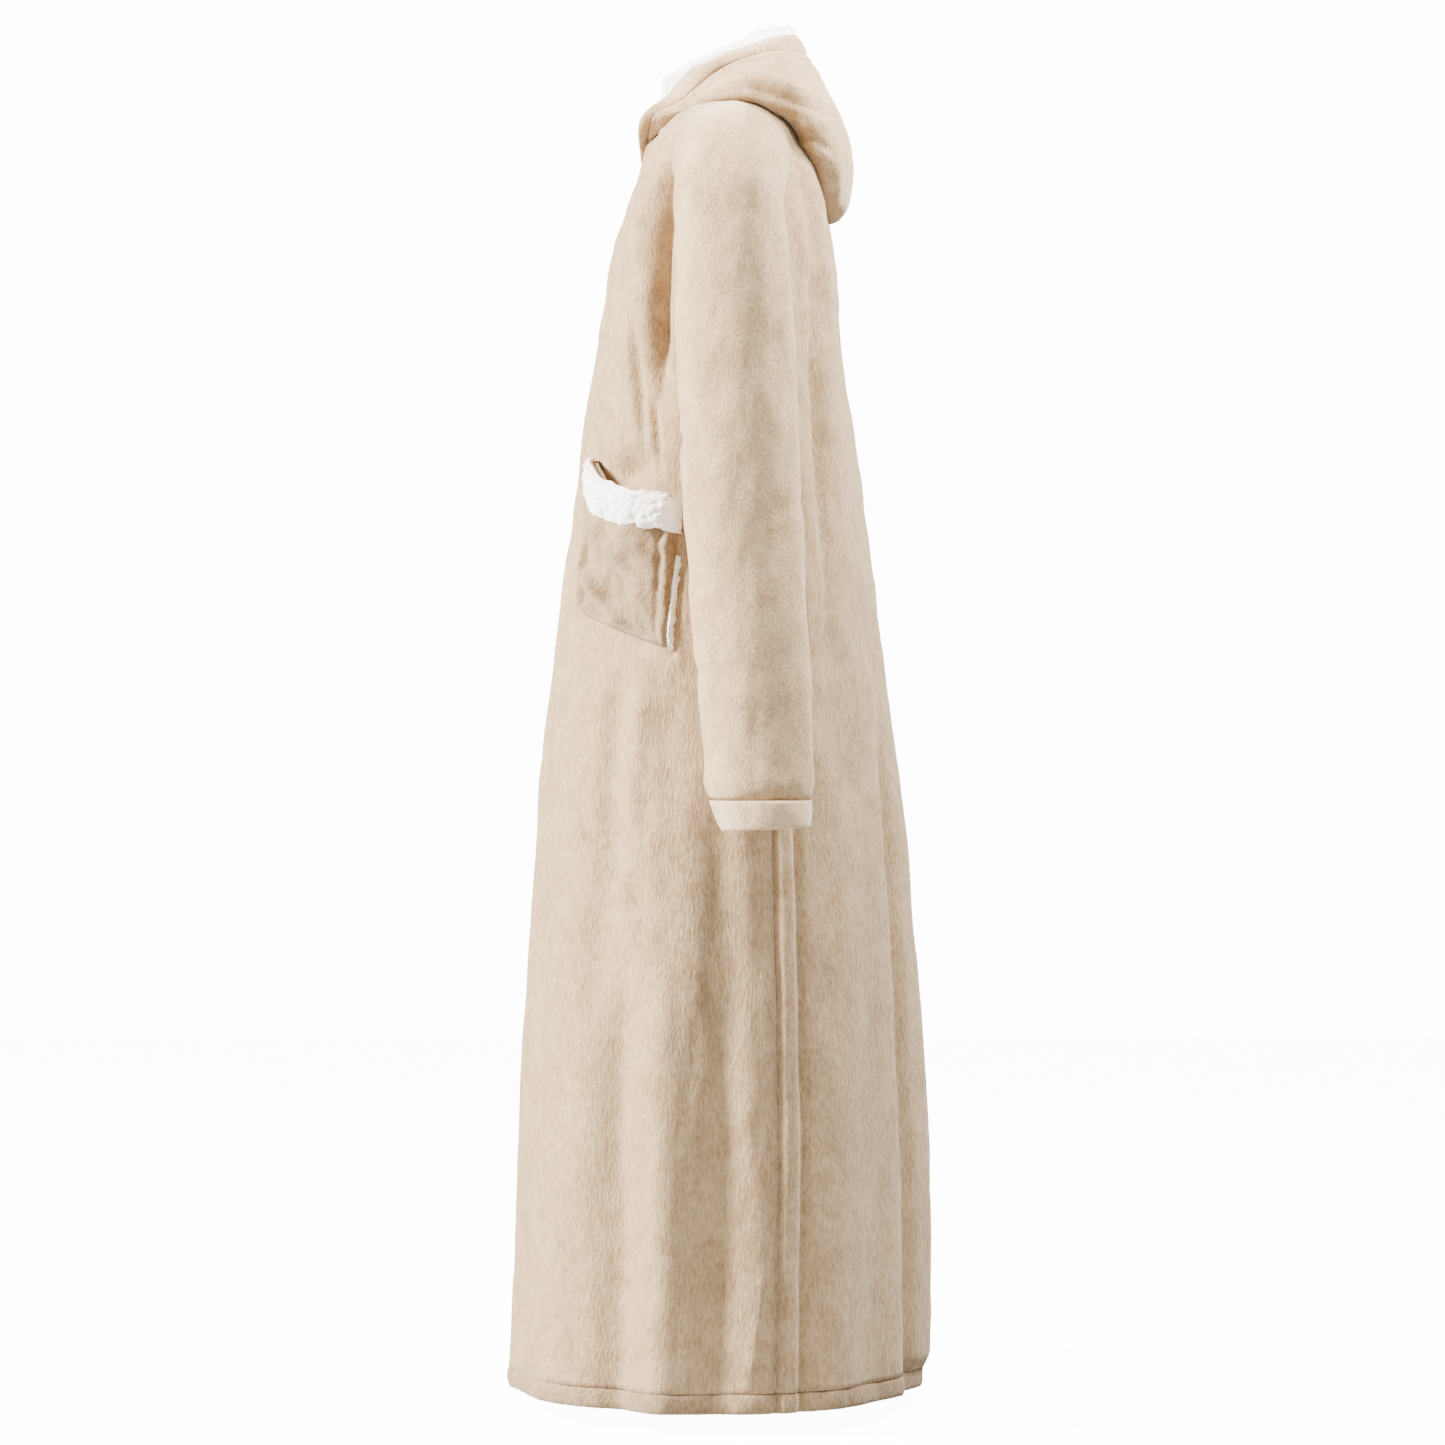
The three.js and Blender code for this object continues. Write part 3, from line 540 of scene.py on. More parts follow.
armholes = {name: cutter(side) for side, name in SIDES}
rows, lining_rows = level_rows(5.2), level_rows(9)
pair("front", *shell(*front_grid(PANEL_EDGE, rows)), BODY_PLUSH_PAINTED_SHADE, "plush", ["front_panel"], "hung", ["neck_tape"],
     holes=armholes)
pair("front_pile", *pile(*front_grid(ZIP_FLAT, lining_rows, 1.7, 5.0)), PILE, "pile", ["front_lining"], "hung",
     ["front_{}"], holes=armholes)
for label, (out, inner, base), material, slot, cad_node, above in (
        ("back", shell(*back_grid(rows, 160)), BODY_PLUSH_PAINTED_SHADE, "plush", "back_panel", "neck_tape"),
        ("back_pile", pile(*back_grid(lining_rows, 110)), PILE, "pile", "back_lining", "back")):
    panel = closed_sheet(label, out, inner, material)
    cut(panel, armholes.values())
    soft(panel, base, "torso", slot, [cad_node], "hung", [above])

# hem bands: a rolled, turned-up edge with a stitched groove above it
BAND_ROWS = 9
band_rows = level_at(np.linspace(-HEM, -BAND_EDGE - GAP, BAND_ROWS))
swell = 2.2 * np.sin(np.linspace(0, 1, BAND_ROWS) * math.pi)[:, None] ** 0.6 - 0.8


def band(angle, level):
    base, normal, fold = draped(angle, level)
    pucker = 0.9 * noise(base, (9, 9, 40), 31) + 0.8 * noise(base, (30, 30, 60), 32)
    return (base + normal * (fold + swell + pucker)[..., None],
            base + normal * (fold + LINING_IN - 0.4 * swell)[..., None], base)


pair("hem_front", *band(*front_grid(PANEL_EDGE, band_rows, 0.6)), HEM_CLOTH_PAINTED_SHADE, "plush", ["hem_band_front"], "folded",
     ["front_{}"])
out, inner, base = band(*back_grid(band_rows, 320))
soft(closed_sheet("hem_back", out, inner, HEM_CLOTH_PAINTED_SHADE), base, "torso", "plush", ["hem_band_back"], "folded", ["back"])

# ------------------------------------ sleeves
# stations from the armhole to the cuff: middle, turn, half width and half thickness
HEAD, TURN_RADIUS, HALF_THICK = 195, 66, 45
STATIONS = [[112, ARM_Y, ARM_Z, 0, ARM_HALF, ARM_RADIUS]]
for degrees in (0, 30, 60, 90):
    turn, share = math.radians(degrees), degrees / 90
    STATIONS.append([HEAD + TURN_RADIUS * math.sin(turn), ARM_Y - 1.5 * share,
                     ARM_Z - TURN_RADIUS * (1 - math.cos(turn)), turn, ARM_HALF - 0.5 * share,
                     ARM_RADIUS + (HALF_THICK - ARM_RADIUS) * share])
STATIONS += [[268, 20, -330, math.pi / 2, 59.3, 44], [283, 32, -540, math.pi / 2, 57.5, 43],
             [300, 41.5, -718, math.pi / 2, 50.5, 41]]
STATIONS = np.array(STATIONS, float)


def station(place):
    """The sleeve's middle, turn and half sizes at each place between its stations."""
    last = len(STATIONS) - 1
    i = np.minimum(np.floor(place).astype(int), last - 1)
    knots = [STATIONS[np.clip(i + k, 0, last)] for k in (-1, 0, 1, 2)]
    return spline(*knots, (place - i)[:, None])


def place_list(step):
    """Places along the sleeve, evenly spaced by length."""
    fine = np.linspace(1, len(STATIONS) - 1, 1400)
    centre = station(fine)[:, :3]
    length = np.concatenate([[0], np.cumsum(np.linalg.norm(np.diff(centre, axis=0), axis=1))])
    return np.interp(np.linspace(0, length[-1], int(length[-1] / step)), length, fine), length[-1]


def skin_x(y, z):
    """The body surface's x beside the armhole, at each (y, z)."""
    a, l = np.meshgrid(np.radians(np.linspace(40, 150, 420)), np.linspace(4, NECK_LEVEL, 420))
    base, normal, fold = draped(a, l)
    cloud = (base + normal * fold[..., None]).reshape(-1, 3)
    found = [cloud[np.argmin((cloud[:, 1] - yy) ** 2 + (cloud[:, 2] - zz) ** 2), 0] for yy, zz in zip(y, z)]
    found = np.array(found)
    for _ in range(3):
        found = (np.roll(found, 1) + found * 2 + np.roll(found, -1)) / 4
    return found


def outwards(p):
    """The sleeve's normals pointing out, and whether the grid's own point in."""
    n = normals(p, True)
    inward = n[20, 0, 1] < 0
    return (-n if inward else n), inward


def sleeve_tube(inset, columns, step):
    """The sleeve's surface from the seam on the body down to the cuff, set in and wrinkled."""
    around = np.arange(columns) / columns * 2 * math.pi
    places, length = place_list(step)
    s = station(places)
    out = (s[:, 5] - inset)[:, None] * np.sin(around)
    p = np.stack([s[:, 0:1] + out * np.sin(s[:, 3:4]),
                  s[:, 1:2] + (s[:, 4:5] - inset) * np.cos(around),
                  s[:, 2:3] + out * np.cos(s[:, 3:4])], -1)
    # from the seam on the body out to the sleeve head
    ring = p[0]
    seam_x = skin_x(ring[:, 1], ring[:, 2]) - SHELL - 4
    head = np.repeat(ring[None], 8, 0)
    head[..., 0] = seam_x + (ring[:, 0] - seam_x) * np.linspace(0, 1, 9)[:-1, None]
    p = np.concatenate([head, p])
    travel = np.concatenate([np.linspace(-30, 0, 9)[:-1], np.linspace(0, length, len(places))])[:, None]
    down = -p[..., 2]
    f = 2.6 * noise(p, (45, 45, 110), 41) + 1.7 * noise(p, (22, 22, 40), 42) + 0.7 * noise(p, (9, 9, 16), 43)
    # a groove at the seam, slack at the head, three creases on the way down, and slack above the cuff
    f += -1.2 * bell(travel, -26, 6) + 1.0 * bell(travel, 5, 30)
    front = np.cos(around)[None, :]
    f += -2.6 * bell(down, 388 + 24 * front, 7) * ramp(-0.2, 0.9, -front)
    f += -2.2 * bell(down, 452 - 26 * front, 8) * ramp(-0.1, 0.9, front)
    f += -2.2 * bell(down, 610 + 18 * front, 8) * ramp(-0.5, 0.6, -front)
    f += 2.0 * bell(down, 700, 10) - 3.0 * bell(down, 718, 4)
    return p + outwards(p)[0] * f[..., None]


plush_out = sleeve_tube(0, 120, 5.0)
outward, turned = outwards(plush_out)
plush_in = plush_out - outward * SHELL
lining_out = sleeve_tube(SHELL + 1.2, 90, 8.0)
lining_in = lining_out - outwards(lining_out)[0] * (LINING + 1.6 * curls(lining_out, 11.0, 3))[..., None]

CUFF_DEPTH, CUFF_TOP, CUFF_COLUMNS = 29, 0.8, 96
cuff_levels = np.linspace(0, 1, 13)[:, None]
last, above = STATIONS[-1], STATIONS[-2]
lean = (last[0] - above[0]) / (above[2] - last[2])
around_cuff = np.arange(CUFF_COLUMNS) / CUFF_COLUMNS * 2 * math.pi


def cuff_grid(inset):
    width = 50.0 - 7.5 * cuff_levels - inset
    thick = last[5] - 0.5 - 3.5 * cuff_levels - inset
    tilt = 3.0 * np.cos(around_cuff)
    return np.stack([last[0] + lean * CUFF_DEPTH * cuff_levels + thick * np.sin(around_cuff),
                     last[1] + 0.5 + 5.5 * cuff_levels + width * np.cos(around_cuff),
                     last[2] - CUFF_TOP - (CUFF_DEPTH - CUFF_TOP - tilt * 0.6) * cuff_levels + 0 * around_cuff], -1)


cuff_base = cuff_grid(0)
cuff_dir = cuff_base - cuff_base.mean(1, keepdims=True)
cuff_dir /= np.linalg.norm(cuff_dir, axis=-1, keepdims=True)
pucker = 0.8 * noise(cuff_base, (8, 8, 30), 51) + 0.9 * noise(cuff_base, (26, 26, 40), 52)
cuff_out = cuff_base + cuff_dir * (1.6 * np.sin(cuff_levels * math.pi) ** 0.5 + pucker)[..., None]
cuff_in = cuff_grid(7.5) - cuff_dir * (0.8 * curls(cuff_base, 9.0))[..., None]


def oriented(p, side):
    """Mirrors for the right sleeve, and keeps the outer face's corners going the right way round."""
    q = p if side > 0 else p * np.array([-1, 1, 1])
    return q[:, ::-1] if turned == (side > 0) else q


for side, name in SIDES:
    arm, plush = f"sleeve_{name}", f"sleeve_{name}_plush"
    joint = ("torso", arm, (side * 0.197, 0.020, -0.082), (side * 0.225, 0.020, -0.082))
    for label, out, inner, base, material, slot, cad_node, held, rests_on, blend in (
            (plush, plush_out, plush_in, plush_out, PLUSH_FINE, "plush", arm, "hung", f"front_{name}", joint),
            (f"{arm}_pile", lining_out, lining_in, lining_out, PILE, "pile", f"sleeve_lining_{name}", "hung", plush,
             joint),
            (f"cuff_band_{name}", cuff_out[::-1, ::-1], cuff_in[::-1, ::-1], cuff_base, CUFF_CLOTH, "plush",
             f"cuff_{name}", "folded", plush, None)):
        soft(closed_sheet(label, oriented(out, side), oriented(inner, side), material, True), base, arm, slot,
             [cad_node], held, [rests_on], True, blend)

for tool in armholes.values():
    bpy.data.objects.remove(tool)

# ------------------------------------ pockets
def under_pocket(u, v):
    angle = POCKET_FRONT + (POCKET_REAR - POCKET_FRONT) * u
    top = POCKET_MOUTH + MOUTH_SLANT * u
    bottom = POCKET_FOOT + FOOT_SLANT * u
    return angle, body(angle, level_at(-(bottom + (top - bottom) * v)))


def pocket_sheet(u0, u1, v0, v1, columns, rows, profile, fray=0.0):
    """Outer, inner and base grids over a part of the pocket; profile gives (inner, outer) heights."""
    u, v = np.meshgrid(np.linspace(u0, u1, columns), np.linspace(v0, v1, rows))
    # the mouth sags between its ends, and the rear edge leans out towards it
    sag = 0.075 * ramp(0.12, 0.32, u) * (1 - 0.75 * ramp(0.62, 0.98, u))
    spot = np.stack([u * POCKET_WIDTH, v * POCKET_WIDTH, 0 * u], -1)
    ragged = fray * (noise(spot, 5.0, 64) + 0.6 * noise(spot, 2.2, 65)) / POCKET_WIDTH
    edge = np.minimum(u - u0, u1 - u) / (u1 - u0) * columns
    angle, base = under_pocket(u * (1 + 0.07 * v) + ragged * (edge < 3), v - sag * ramp(0.3, 0.8, v) + ragged)
    normal = normals(base)
    lift = folds(angle, base)
    rise = GAP + 18 * (1 - np.abs(2 * u - 1) ** 3) * ramp(0, 0.8, v)
    inner, outer = profile(u, v, base, rise)
    return base + normal * (lift + outer)[..., None], base + normal * (lift + inner)[..., None], base


def pocket_face(u, v, base, rise):
    """The plush: a rolled edge with a stitched groove inside it, slanting pulls and puffy cloth."""
    edge = np.minimum(np.minimum(u, 1 - u) * 90, v * 150)
    roll = 4.6 * ramp(0, 2.5, edge) - 3.0 * bell(edge, 10, 2.4) + 2.2 * bell(edge, 4.5, 2.6)
    slant = 60 * u + 95 * v
    pulls = 7.5 * noise(np.stack([slant, 40 * u - 40 * v, 0 * u], -1), (11, 46, 10), 61) * (1 - ramp(0.45, 0.8, v))
    puff = 4.2 * noise(base, (24, 24, 28), 62) + 1.2 * noise(base, (9, 9, 12), 63)
    inside = ramp(0, 10, edge)
    return rise, rise + 1.0 + roll + (pulls + puff) * inside


def pocket_pile(u, v, base, rise):
    """The trim at the mouth, full in its middle and thinner at its ends."""
    low, high = 0.78, 1.0
    crown = np.sin(np.clip((v - low) / (high - low), 0, 1) * math.pi) ** 0.5
    ends = (ramp(-0.005, 0.1, u) * ramp(-0.03, 0.09, 1 - u)) ** 0.8
    fluff = 5.4 * curls(base, 10.0, 71) + 2.5 * noise(base, (24, 24, 24), 72)
    return rise + 3.4, rise + 6.2 + (3.0 * crown + fluff * (0.45 + 0.55 * crown)) * (0.3 + 0.7 * ends)


def pocket_back(u, v, base, rise):
    """The lining behind the plush."""
    return rise - 4 - 1.8 * curls(base, 9.0, 73) * (v > 0.1), rise - 0.5


def pocket_edge(u, v, base, rise):
    """The bead of pile that shows along the rear edge."""
    bead = np.sin(np.clip((u - 0.985) / 0.05, 0, 1) * math.pi) ** 0.5
    fluff = 3.6 * curls(base, 6.0, 74)
    return 0.2 + 0 * u, 1.2 + bead * (2.6 + fluff) * ramp(0, 0.06, v) * (ramp(0, 0.5, 0.64 - v)) ** 0.6


# the part of the pocket (u from, to, v from, to, columns, rows), its profile and how frayed its edges are
for label, area, profile, fray, material, slot, nodes, held, rests_on in (
        ("pocket_plush", (0, 1, 0, 1, 110, 130), pocket_face, 0, POCKET_CLOTH_PAINTED_SHADE, "plush", ["pocket"], "laid",
         "front_{}"),
        ("pocket_trim_pile", (-0.005, 1.03, 0.77, 1.015, 170, 50), pocket_pile, 1.1, PILE, "pile", ["pocket_trim"],
         "folded", "pocket_plush_{}"),
        ("pocket_inner_pile", (0.125, 0.875, 3 / 7, 1, 60, 50), pocket_back, 0, PILE, "pile", ["pocket_lining"],
         "hung", "pocket_plush_{}"),
        ("pocket_edge_pile", (0.985, 1.035, 0.0, 0.62, 18, 150), pocket_edge, 1.4, PILE, "pile", [], "folded",
         "front_{}")):
    pair(label, *pocket_sheet(*area, profile, fray), material, slot, nodes, held, [rests_on], layers=2 if fray else 1)

# ------------------------------------ hood
# The left side: one row for each section from the brim's edge back to the tip, each section's
# points from the neck seam up to the centre seam.
HOOD_CENTRE, MIDDLE_GAP = np.array([0, 30, 0.0]), 0.2
HOOD_NET = np.array([
    [[5, -80, -62], [44, -80, -34], [76, -54, 3], [90, -30, 23], [80, 16, 46], [40, 64, 66], [3, 82, 72]],
    [[52, -63, -37], [84, -56, -14], [100, -32, 4], [104, 8, 24], [92, 46, 40], [48, 76, 56], [0, 88, 57]],
    [[83, -12, 4], [104, -6, 3], [115, 10, 10], [113, 44, 17], [96, 72, 24], [52, 96, 32], [0, 106, 27]],
    [[62, 44, 13], [88, 46, 3], [110, 56, -5], [112, 74, -6], [94, 98, -2], [50, 118, -2], [0, 126, -14]],
    [[0, 76, -8], [40, 80, -20], [82, 82, -32], [104, 94, -34], [90, 115, -34], [50, 131, -36], [0, 139, -50]],
    [[0, 98, -58], [36, 99, -66], [70, 101, -70], [88, 109, -72], [78, 124, -74], [44, 138, -76], [0, 143, -86]],
    [[0, 107, -98], [26, 108, -102], [48, 110, -104], [58, 115, -106], [50, 124, -106], [30, 134, -106],
     [0, 138, -108]],
    [[0, 115, -121], [4, 116, -122], [7, 118, -123], [9, 121, -124], [7, 124, -123], [4, 127, -122], [0, 129, -121]],
], float)


def curve(points, t):
    """Centripetal Catmull-Rom through the points, at shares t of its spans."""
    last = len(points) - 1
    place = np.asarray(t) * last
    i = np.minimum(np.floor(place).astype(int), last - 1)
    w = (place - i)[:, None]
    padded = np.concatenate([[2 * points[0] - points[1]], points, [2 * points[-1] - points[-2]]])
    p0, p1, p2, p3 = (padded[i + k] for k in range(4))
    d0, d1, d2 = (np.maximum(((b - a) ** 2).sum(-1) ** 0.25, 1e-4)[:, None]
                  for a, b in ((p0, p1), (p1, p2), (p2, p3)))
    t1 = ((p1 - p0) / d0 - (p2 - p0) / (d0 + d1) + (p2 - p1) / d1) * d1
    t2 = ((p2 - p1) / d1 - (p3 - p1) / (d1 + d2) + (p3 - p2) / d2) * d1
    return p1 + t1 * w + (-3 * p1 + 3 * p2 - 2 * t1 - t2) * w ** 2 + (2 * p1 - 2 * p2 + t1 + t2) * w ** 3


def hood_grid(start, end, columns, low, rows):
    """Points of the hood's left side from start to end mm behind the brim edge (or to the tip),
    rows from a share low up to the centre seam."""
    shares = np.linspace(low, 1, rows)
    sections = np.array([curve(section, shares) for section in HOOD_NET])
    grid = []
    for k in range(rows):
        fine = curve(sections[:, k], np.linspace(0, 1, 500))
        length = np.concatenate([[0], np.cumsum(np.linalg.norm(np.diff(fine, axis=0), axis=1))])
        stop = length[-1] if end is None else end
        want = np.linspace(start, stop, columns)
        row = np.stack([np.interp(want, length, fine[:, c]) for c in range(3)], -1)
        # before the edge the cloth carries straight on
        before = want < 0
        row[before] = fine[0] + (fine[0] - fine[8]) / length[8] * (-want[before])[:, None]
        grid.append(row)
    grid = np.array(grid)
    share = shares[:, None] + 0 * grid[..., 0]
    grid = settled(grid, share)
    grid[..., 0] = np.maximum(grid[..., 0], MIDDLE_GAP)
    return grid, share, np.broadcast_to(np.linspace(0, 1, columns), grid.shape[:2])


def outward_normals(p):
    n = normals(p)
    return n if ((n * (p - HOOD_CENTRE)).sum(-1)).mean() > 0 else -n


def settled(p, t):
    """The fallen hood's underside spreads out over the shoulders and the shoulder blades."""
    q = p.copy()
    low = bell(t, 0.2, 0.2)
    side = low * ramp(-70, -30, p[..., 1]) * (1 - ramp(60, 120, p[..., 1]))
    q[..., 0] += 7 * side
    q[..., 2] -= 17 * side
    lobe = (1 - ramp(0.25, 0.7, t)) * ramp(60, 100, p[..., 1]) * ramp(0, -50, p[..., 2])
    q[..., 1] -= 12 * lobe
    return q


def hood_folds(p, t):
    """Soft folds of the fallen hood; they fade out at the centre seam and the neck seam."""
    y, z = p[..., 1], p[..., 2]
    f = 2.2 * noise(p, (34, 34, 30), 81) + 1.1 * noise(p, (15, 15, 15), 82) + 0.5 * noise(p, (7, 7, 7), 83)
    f -= 5 * bell(z - (-4 - 0.35 * (y - 55)), 0, 6) * bell(y, 62, 34) * ramp(0.05, 0.3, t)
    f += 3 * bell(z - (14 - 0.35 * (y - 55)), 0, 9) * bell(y, 72, 40)
    f -= 3 * bell(z - (-40 - 0.5 * (y - 80)), 0, 6) * bell(y, 95, 26)
    f -= 2.4 * bell(t, 1, 0.035)
    return f * (0.15 + 0.85 * ramp(0, 0.1, t))


HOOD_BLEND = ("torso", "hood", (0, 0.01125, -0.02225), (0, -0.01125, 0.02225))


def hood_pair(label, grid, outer, inner, material, slot, nodes, layers=1, n=None):
    """A hood piece between the heights inner and outer over its grid, kept off the middle."""
    n = outward_normals(grid) if n is None else n
    faces = [grid + n * height[..., None] for height in (outer, inner)]
    for face in faces:
        face[..., 0] = np.maximum(face[..., 0], MIDDLE_GAP)
    if (normals(faces[0]) * (faces[0] - HOOD_CENTRE)).sum(-1).mean() <= 0:
        faces = [face[:, ::-1] for face in faces]
    pair(label, *faces, grid, material, slot, nodes, "folded", ["neck_tape"], "hood", blend=HOOD_BLEND, layers=layers)


grid, t, s = hood_grid(27.0, None, 120, 0, 84)
f = hood_folds(grid, t) - 2.4 * bell(s, 0, 0.012) + 1.2 * bell(s, 0.03, 0.02)
hood_pair("hood_side", grid, f, f - SHELL, PLUSH_FINE, "plush", ["hood_panel"])

grid, t, s = (g[:, :76] for g in hood_grid(30.0, None, 90, 0.12, 60))
f = hood_folds(grid, t) - SHELL - 1.0
hood_pair("hood_pile", grid, f, f - 4 - 3.5 * curls(grid, 12.0, 84), PILE, "pile", ["hood_lining"])

grid, t, s = hood_grid(0, 27.5, 16, 0, 110)
roll = 4.4 * np.sin(np.clip(s, 0.02, 0.98) * math.pi) ** 0.5 - 1.2
pucker = 1.1 * noise(grid, (14, 14, 14), 85) + 0.9 * noise(grid, (30, 30, 30), 86) + 0.6 * noise(grid, (6, 6, 6), 87)
pucker -= 1.6 * bell(t, 1, 0.012)
# the brim's lowest part is full and turns under at the throat
pucker += 5.5 * bell(t, 0.16, 0.13) * np.sin(np.clip(s, 0, 1) * math.pi)
hood_pair("hood_edge", grid, roll + pucker, -5 - 0.5 * roll, PLUSH_FINE, "plush", ["hood_brim"])

# the pile that wells up out of the opening along the brim
WELL_FROM, WELL_TO, WELL_COLUMNS = -24.0, 30.0, 40
well, t, s = hood_grid(WELL_FROM, WELL_TO, WELL_COLUMNS, 0.06, 170)
n = outward_normals(well)
stand = ramp(0.2, 0.5, t) * (1 - 0.55 * ramp(0.82, 1, t))
along_edge = np.linspace(WELL_FROM, WELL_TO, WELL_COLUMNS)[None, :]
squeeze = np.where(along_edge < 0, along_edge * (0.12 + 0.88 * stand), along_edge)
tangent = np.gradient(well, axis=1)
tangent /= np.linalg.norm(tangent, axis=-1, keepdims=True)
well = well + tangent * (squeeze - along_edge)[..., None]
crown = np.clip(np.sin(np.clip(s, 0, 1) * math.pi), 0.0, 1) ** 0.5
fluff = 9.0 * curls(well, 10.0, 88) + 2.5 * noise(well, (26, 26, 26), 89)
well = well + tangent * ((4.0 * noise(well, (11, 11, 11), 90) + 2.0 * noise(well, (5, 5, 5), 91))
                         * (1 - ramp(WELL_FROM, -4, along_edge)) * stand)[..., None]
upper = -6.4 + (0.5 + 5.5 * stand * (along_edge < 4)) * crown + fluff * 0.5 * crown * (along_edge < 2)
hood_pair("hood_edge_pile", well, upper, -9.5 - (6 + fluff) * crown, PILE, "pile", [], 2, n)

# ------------------------------------ zip
slant = math.atan2(ZIP_BOTTOM_DEPTH - ZIP_TOP_DEPTH, ZIP_LENGTH)
ZIP_FRAME = np.array(Matrix.Translation((0, -ZIP_TOP_DEPTH, -ZIP_TOP)) @ Matrix.Rotation(-slant, 4, "X"))
ZIP_RUN = math.hypot(ZIP_BOTTOM_DEPTH - ZIP_TOP_DEPTH, ZIP_LENGTH)
TEETH_FRONT, TEETH_BACK, STOP, PITCH = 2.6, 5.2, 3.0, 2.6


def in_zip(points):
    return np.asarray(points, float) @ ZIP_FRAME[:3, :3].T + ZIP_FRAME[:3, 3]


# teeth: one moulded coil element every pitch, the two rows half a pitch apart
outline = np.array([[0.75, 0.5], [1.3, 0.95], [3.3, 0.8], [3.5, 0.0], [3.3, -0.8], [1.3, -0.95], [0.75, -0.5]])
middle, size = outline.mean(0), len(outline)
for side, name in SIDES:
    points, faces = [], []
    for k in range(int((ZIP_RUN - 2 * STOP - 2) / PITCH)):
        z = -STOP - 1.6 - PITCH * (k + (0.5 if side < 0 else 0))
        start = len(points)
        for y, grow in ((TEETH_FRONT, 0.82), (TEETH_FRONT + 0.5, 1.0), (TEETH_BACK - 0.5, 1.0), (TEETH_BACK, 0.82)):
            points += [(side * (x + 0.35), y, z + dz) for x, dz in middle + (outline - middle) * grow]
        for layer in range(3):
            at = start + layer * size
            for i in range(size):
                after = (i + 1) % size
                q = (at + i, at + after, at + size + after, at + size + i)
                faces.append(q if side < 0 else q[::-1])
        for q in (tuple(range(start, start + size)), tuple(range(start + 3 * size, start + 4 * size))[::-1]):
            faces.append(q[::-1] if side < 0 else q)
    teeth = mesh(f"zip_row_{name}", in_zip(points), faces, NYLON)
    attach(teeth, "torso")
    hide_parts(f"zip_teeth_{name}")

x, z = np.meshgrid(np.linspace(3.9, 17.0, 12), np.linspace(-ZIP_RUN, 0, 160))
bead = 0.35 * bell(x, 5.0, 0.6)
out, inner = (in_zip(np.stack([x, y, z], -1)) for y in (3.4 - bead, 4.4 + bead))
pair("zip_band", out, inner, out, TAPE, "tape", ["zip_tape"], "hung", ["front_{}"])
# hard pieces and the loop are shown as the CAD made them
for label, material in (("zip_top_stop_left", METAL), ("zip_top_stop_right", METAL), ("zip_bottom_stop", METAL),
                        ("zip_slider", METAL), ("zip_pull", METAL), ("hanging_loop", TAPE)):
    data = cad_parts[label].data
    data.materials.clear()
    data.materials.append(material)


# ------------------------------------ stitching
def stitches(name, line, up, length=4.2, pitch=6.4, radius=0.42):
    """Lockstitches laid along a line of points: short plump beads of thread sunk into the pile."""
    run = np.concatenate([[0], np.cumsum(np.linalg.norm(np.diff(line, axis=0), axis=1))])
    points, faces = [], []
    at = pitch / 2
    while at + length < run[-1]:
        p, q = (np.array([np.interp(w, run, line[:, c]) for c in range(3)]) for w in (at, at + length))
        across = np.cross((q - p) / np.linalg.norm(q - p), up)
        start = len(points)
        for share, fat, lift in ((0, 0.3, -0.5), (0.2, 0.9, 0.1), (0.5, 1.0, 0.3), (0.8, 0.9, 0.1), (1, 0.3, -0.5)):
            centre = p + (q - p) * share + up * lift
            for k in range(6):
                angle = k * math.pi / 3
                points.append(centre + (across * math.cos(angle) + up * math.sin(angle)) * radius * fat)
        for a in range(start, start + 24, 6):
            faces += [(a + k, a + 6 + k, a + 6 + (k + 1) % 6, a + (k + 1) % 6) for k in range(6)]
        faces.append(tuple(start + k for k in range(6)))
        faces.append(tuple(start + 24 + k for k in range(6))[::-1])
        at += pitch
    obj = mesh(name, points, faces, THREAD)
    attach(obj, "torso")


SEAM_POINTS, SEAM_X = 260, 11.5
edge_levels = np.interp(np.linspace(-1003, -82, SEAM_POINTS), HEIGHTS[FRONT], LEVELS)
angle = angle_at(np.full(SEAM_POINTS, SEAM_X), edge_levels)
p = body(angle, edge_levels)
up = np.array([0, -math.cos(slant), math.sin(slant)])
line = p + up * (folds(angle, p) + 0.1)[:, None]
for side, name in SIDES:
    stitches(f"zip_stitching_{name}", line * np.array([side, 1, 1]), up)

# ------------------------------------ neck tape
behind = -SHELL - LINING - GAP - 0.9
high, low = level_at(2.0, BACK), level_at(-10.0, BACK)
u, v = np.meshgrid(np.linspace(0, 1, 90), np.linspace(0, 1, 8))
NECK_SIDE = math.radians(130)
base = body(NECK_SIDE + (2 * math.pi - 2 * NECK_SIDE) * u, low + (high - low) * v)
normal = normals(base)
edge = 0.25 * (bell(v, 0.12, 0.08) + bell(v, 0.88, 0.08))
tape = closed_sheet("neck_band", base + normal * behind, base + normal * (behind - 1.2 - edge)[..., None], TAPE)
soft(tape, base, "torso", "tape", ["neck_tape"], "hung", ["back_pile"])

# ------------------------------------ floor and lights
SURROUND, BACKDROP, FLOOR_GLOW = 0.27, 14.0, 13.0
FLOOR_Z, FLOOR_HALF = -1345, 6000


def camera_switch(tree, lit, seen):
    """What the camera sees directly is the second shader; light that falls on the robe is the first."""
    switch = node(tree, "ShaderNodeMixShader")
    tree.links.new(node(tree, "ShaderNodeLightPath").outputs["Is Camera Ray"], switch.inputs["Fac"])
    tree.links.new(lit.outputs[0], switch.inputs[1])
    tree.links.new(seen.outputs[0], switch.inputs[2])
    return switch


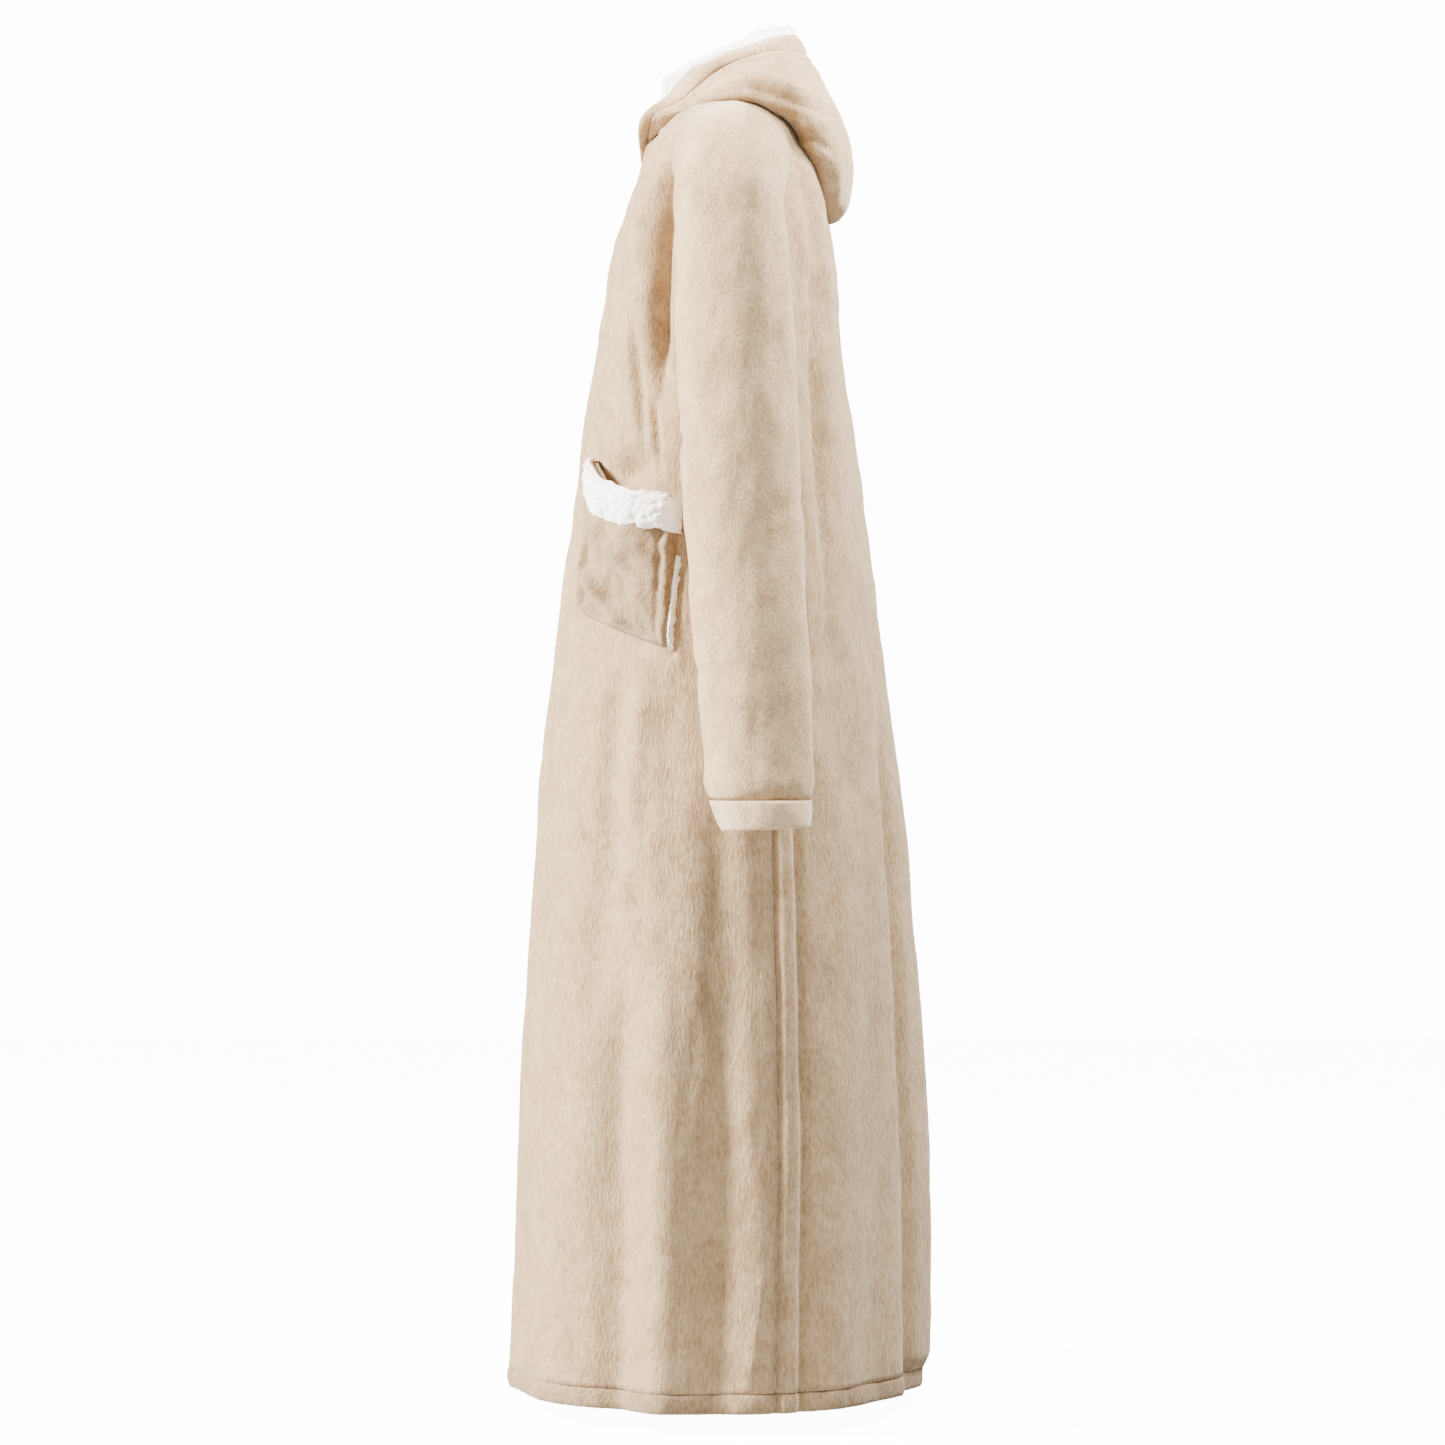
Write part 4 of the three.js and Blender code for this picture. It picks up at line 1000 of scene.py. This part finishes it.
paint, tree, link = new_material("floor_paint", Roughness=0.9)
tones(tree, node(tree, "ShaderNodeTexNoise", Scale=2.0, Detail=2.0).outputs["Fac"], (0.34,) * 3, (0.38,) * 3)
switch = camera_switch(tree, node(tree, "ShaderNodeEmission", Strength=0.0),
                       node(tree, "ShaderNodeEmission", Strength=FLOOR_GLOW))
total = node(tree, "ShaderNodeAddShader")
link(tree.nodes["Principled BSDF"].outputs[0], total.inputs[0])
link(switch.outputs[0], total.inputs[1])
link(total.outputs[0], tree.nodes["Material Output"].inputs["Surface"])
corners = [(x * FLOOR_HALF, y * FLOOR_HALF, FLOOR_Z) for x, y in ((-1, -1), (1, -1), (1, 1), (-1, 1))]
mesh("floor", corners, [(0, 1, 2, 3)], paint)

world = bpy.context.scene.world or bpy.data.worlds.new("world")
bpy.context.scene.world = world
world.use_nodes = True
# a soft dim surround lights the robe; the backdrop that is seen is a bright white sweep
surround = world.node_tree
dim = surround.nodes["Background"]
dim.inputs["Color"].default_value = (1, 0.985, 0.96, 1)
dim.inputs["Strength"].default_value = SURROUND
bright = node(surround, "ShaderNodeBackground", Strength=BACKDROP, Color=(1, 1, 1, 1))
surround.links.new(camera_switch(surround, dim, bright).outputs[0],
                   surround.nodes["World Output"].inputs["Surface"])


def area_light(name, place, target, size, power, colour=(1, 1, 1)):
    data = bpy.data.lights.new(name, "AREA")
    data.shape, data.size, data.energy, data.color = "DISK", size, power, colour
    light = bpy.data.objects.new(name, data)
    light.location = place
    light.rotation_mode = "QUATERNION"
    light.rotation_quaternion = (Vector(target) - Vector(place)).to_track_quat("-Z", "Y")
    bpy.context.scene.collection.objects.link(light)


area_light("key", (0.9, -4.1, 1.5), (0, -0.05, -0.6), 0.9, 1900, (1, 0.98, 0.94))
area_light("top", (0.7, 0.7, 0.95), (0.06, 0.08, -0.04), 0.5, 66)
area_light("fill", (4.2, -3.0, 0.4), (0, 0, -0.6), 1.4, 95, (1, 0.985, 0.96))
area_light("rim", (-0.1, 1.2, 0.9), (0, 0.1, 0.0), 0.4, 150)
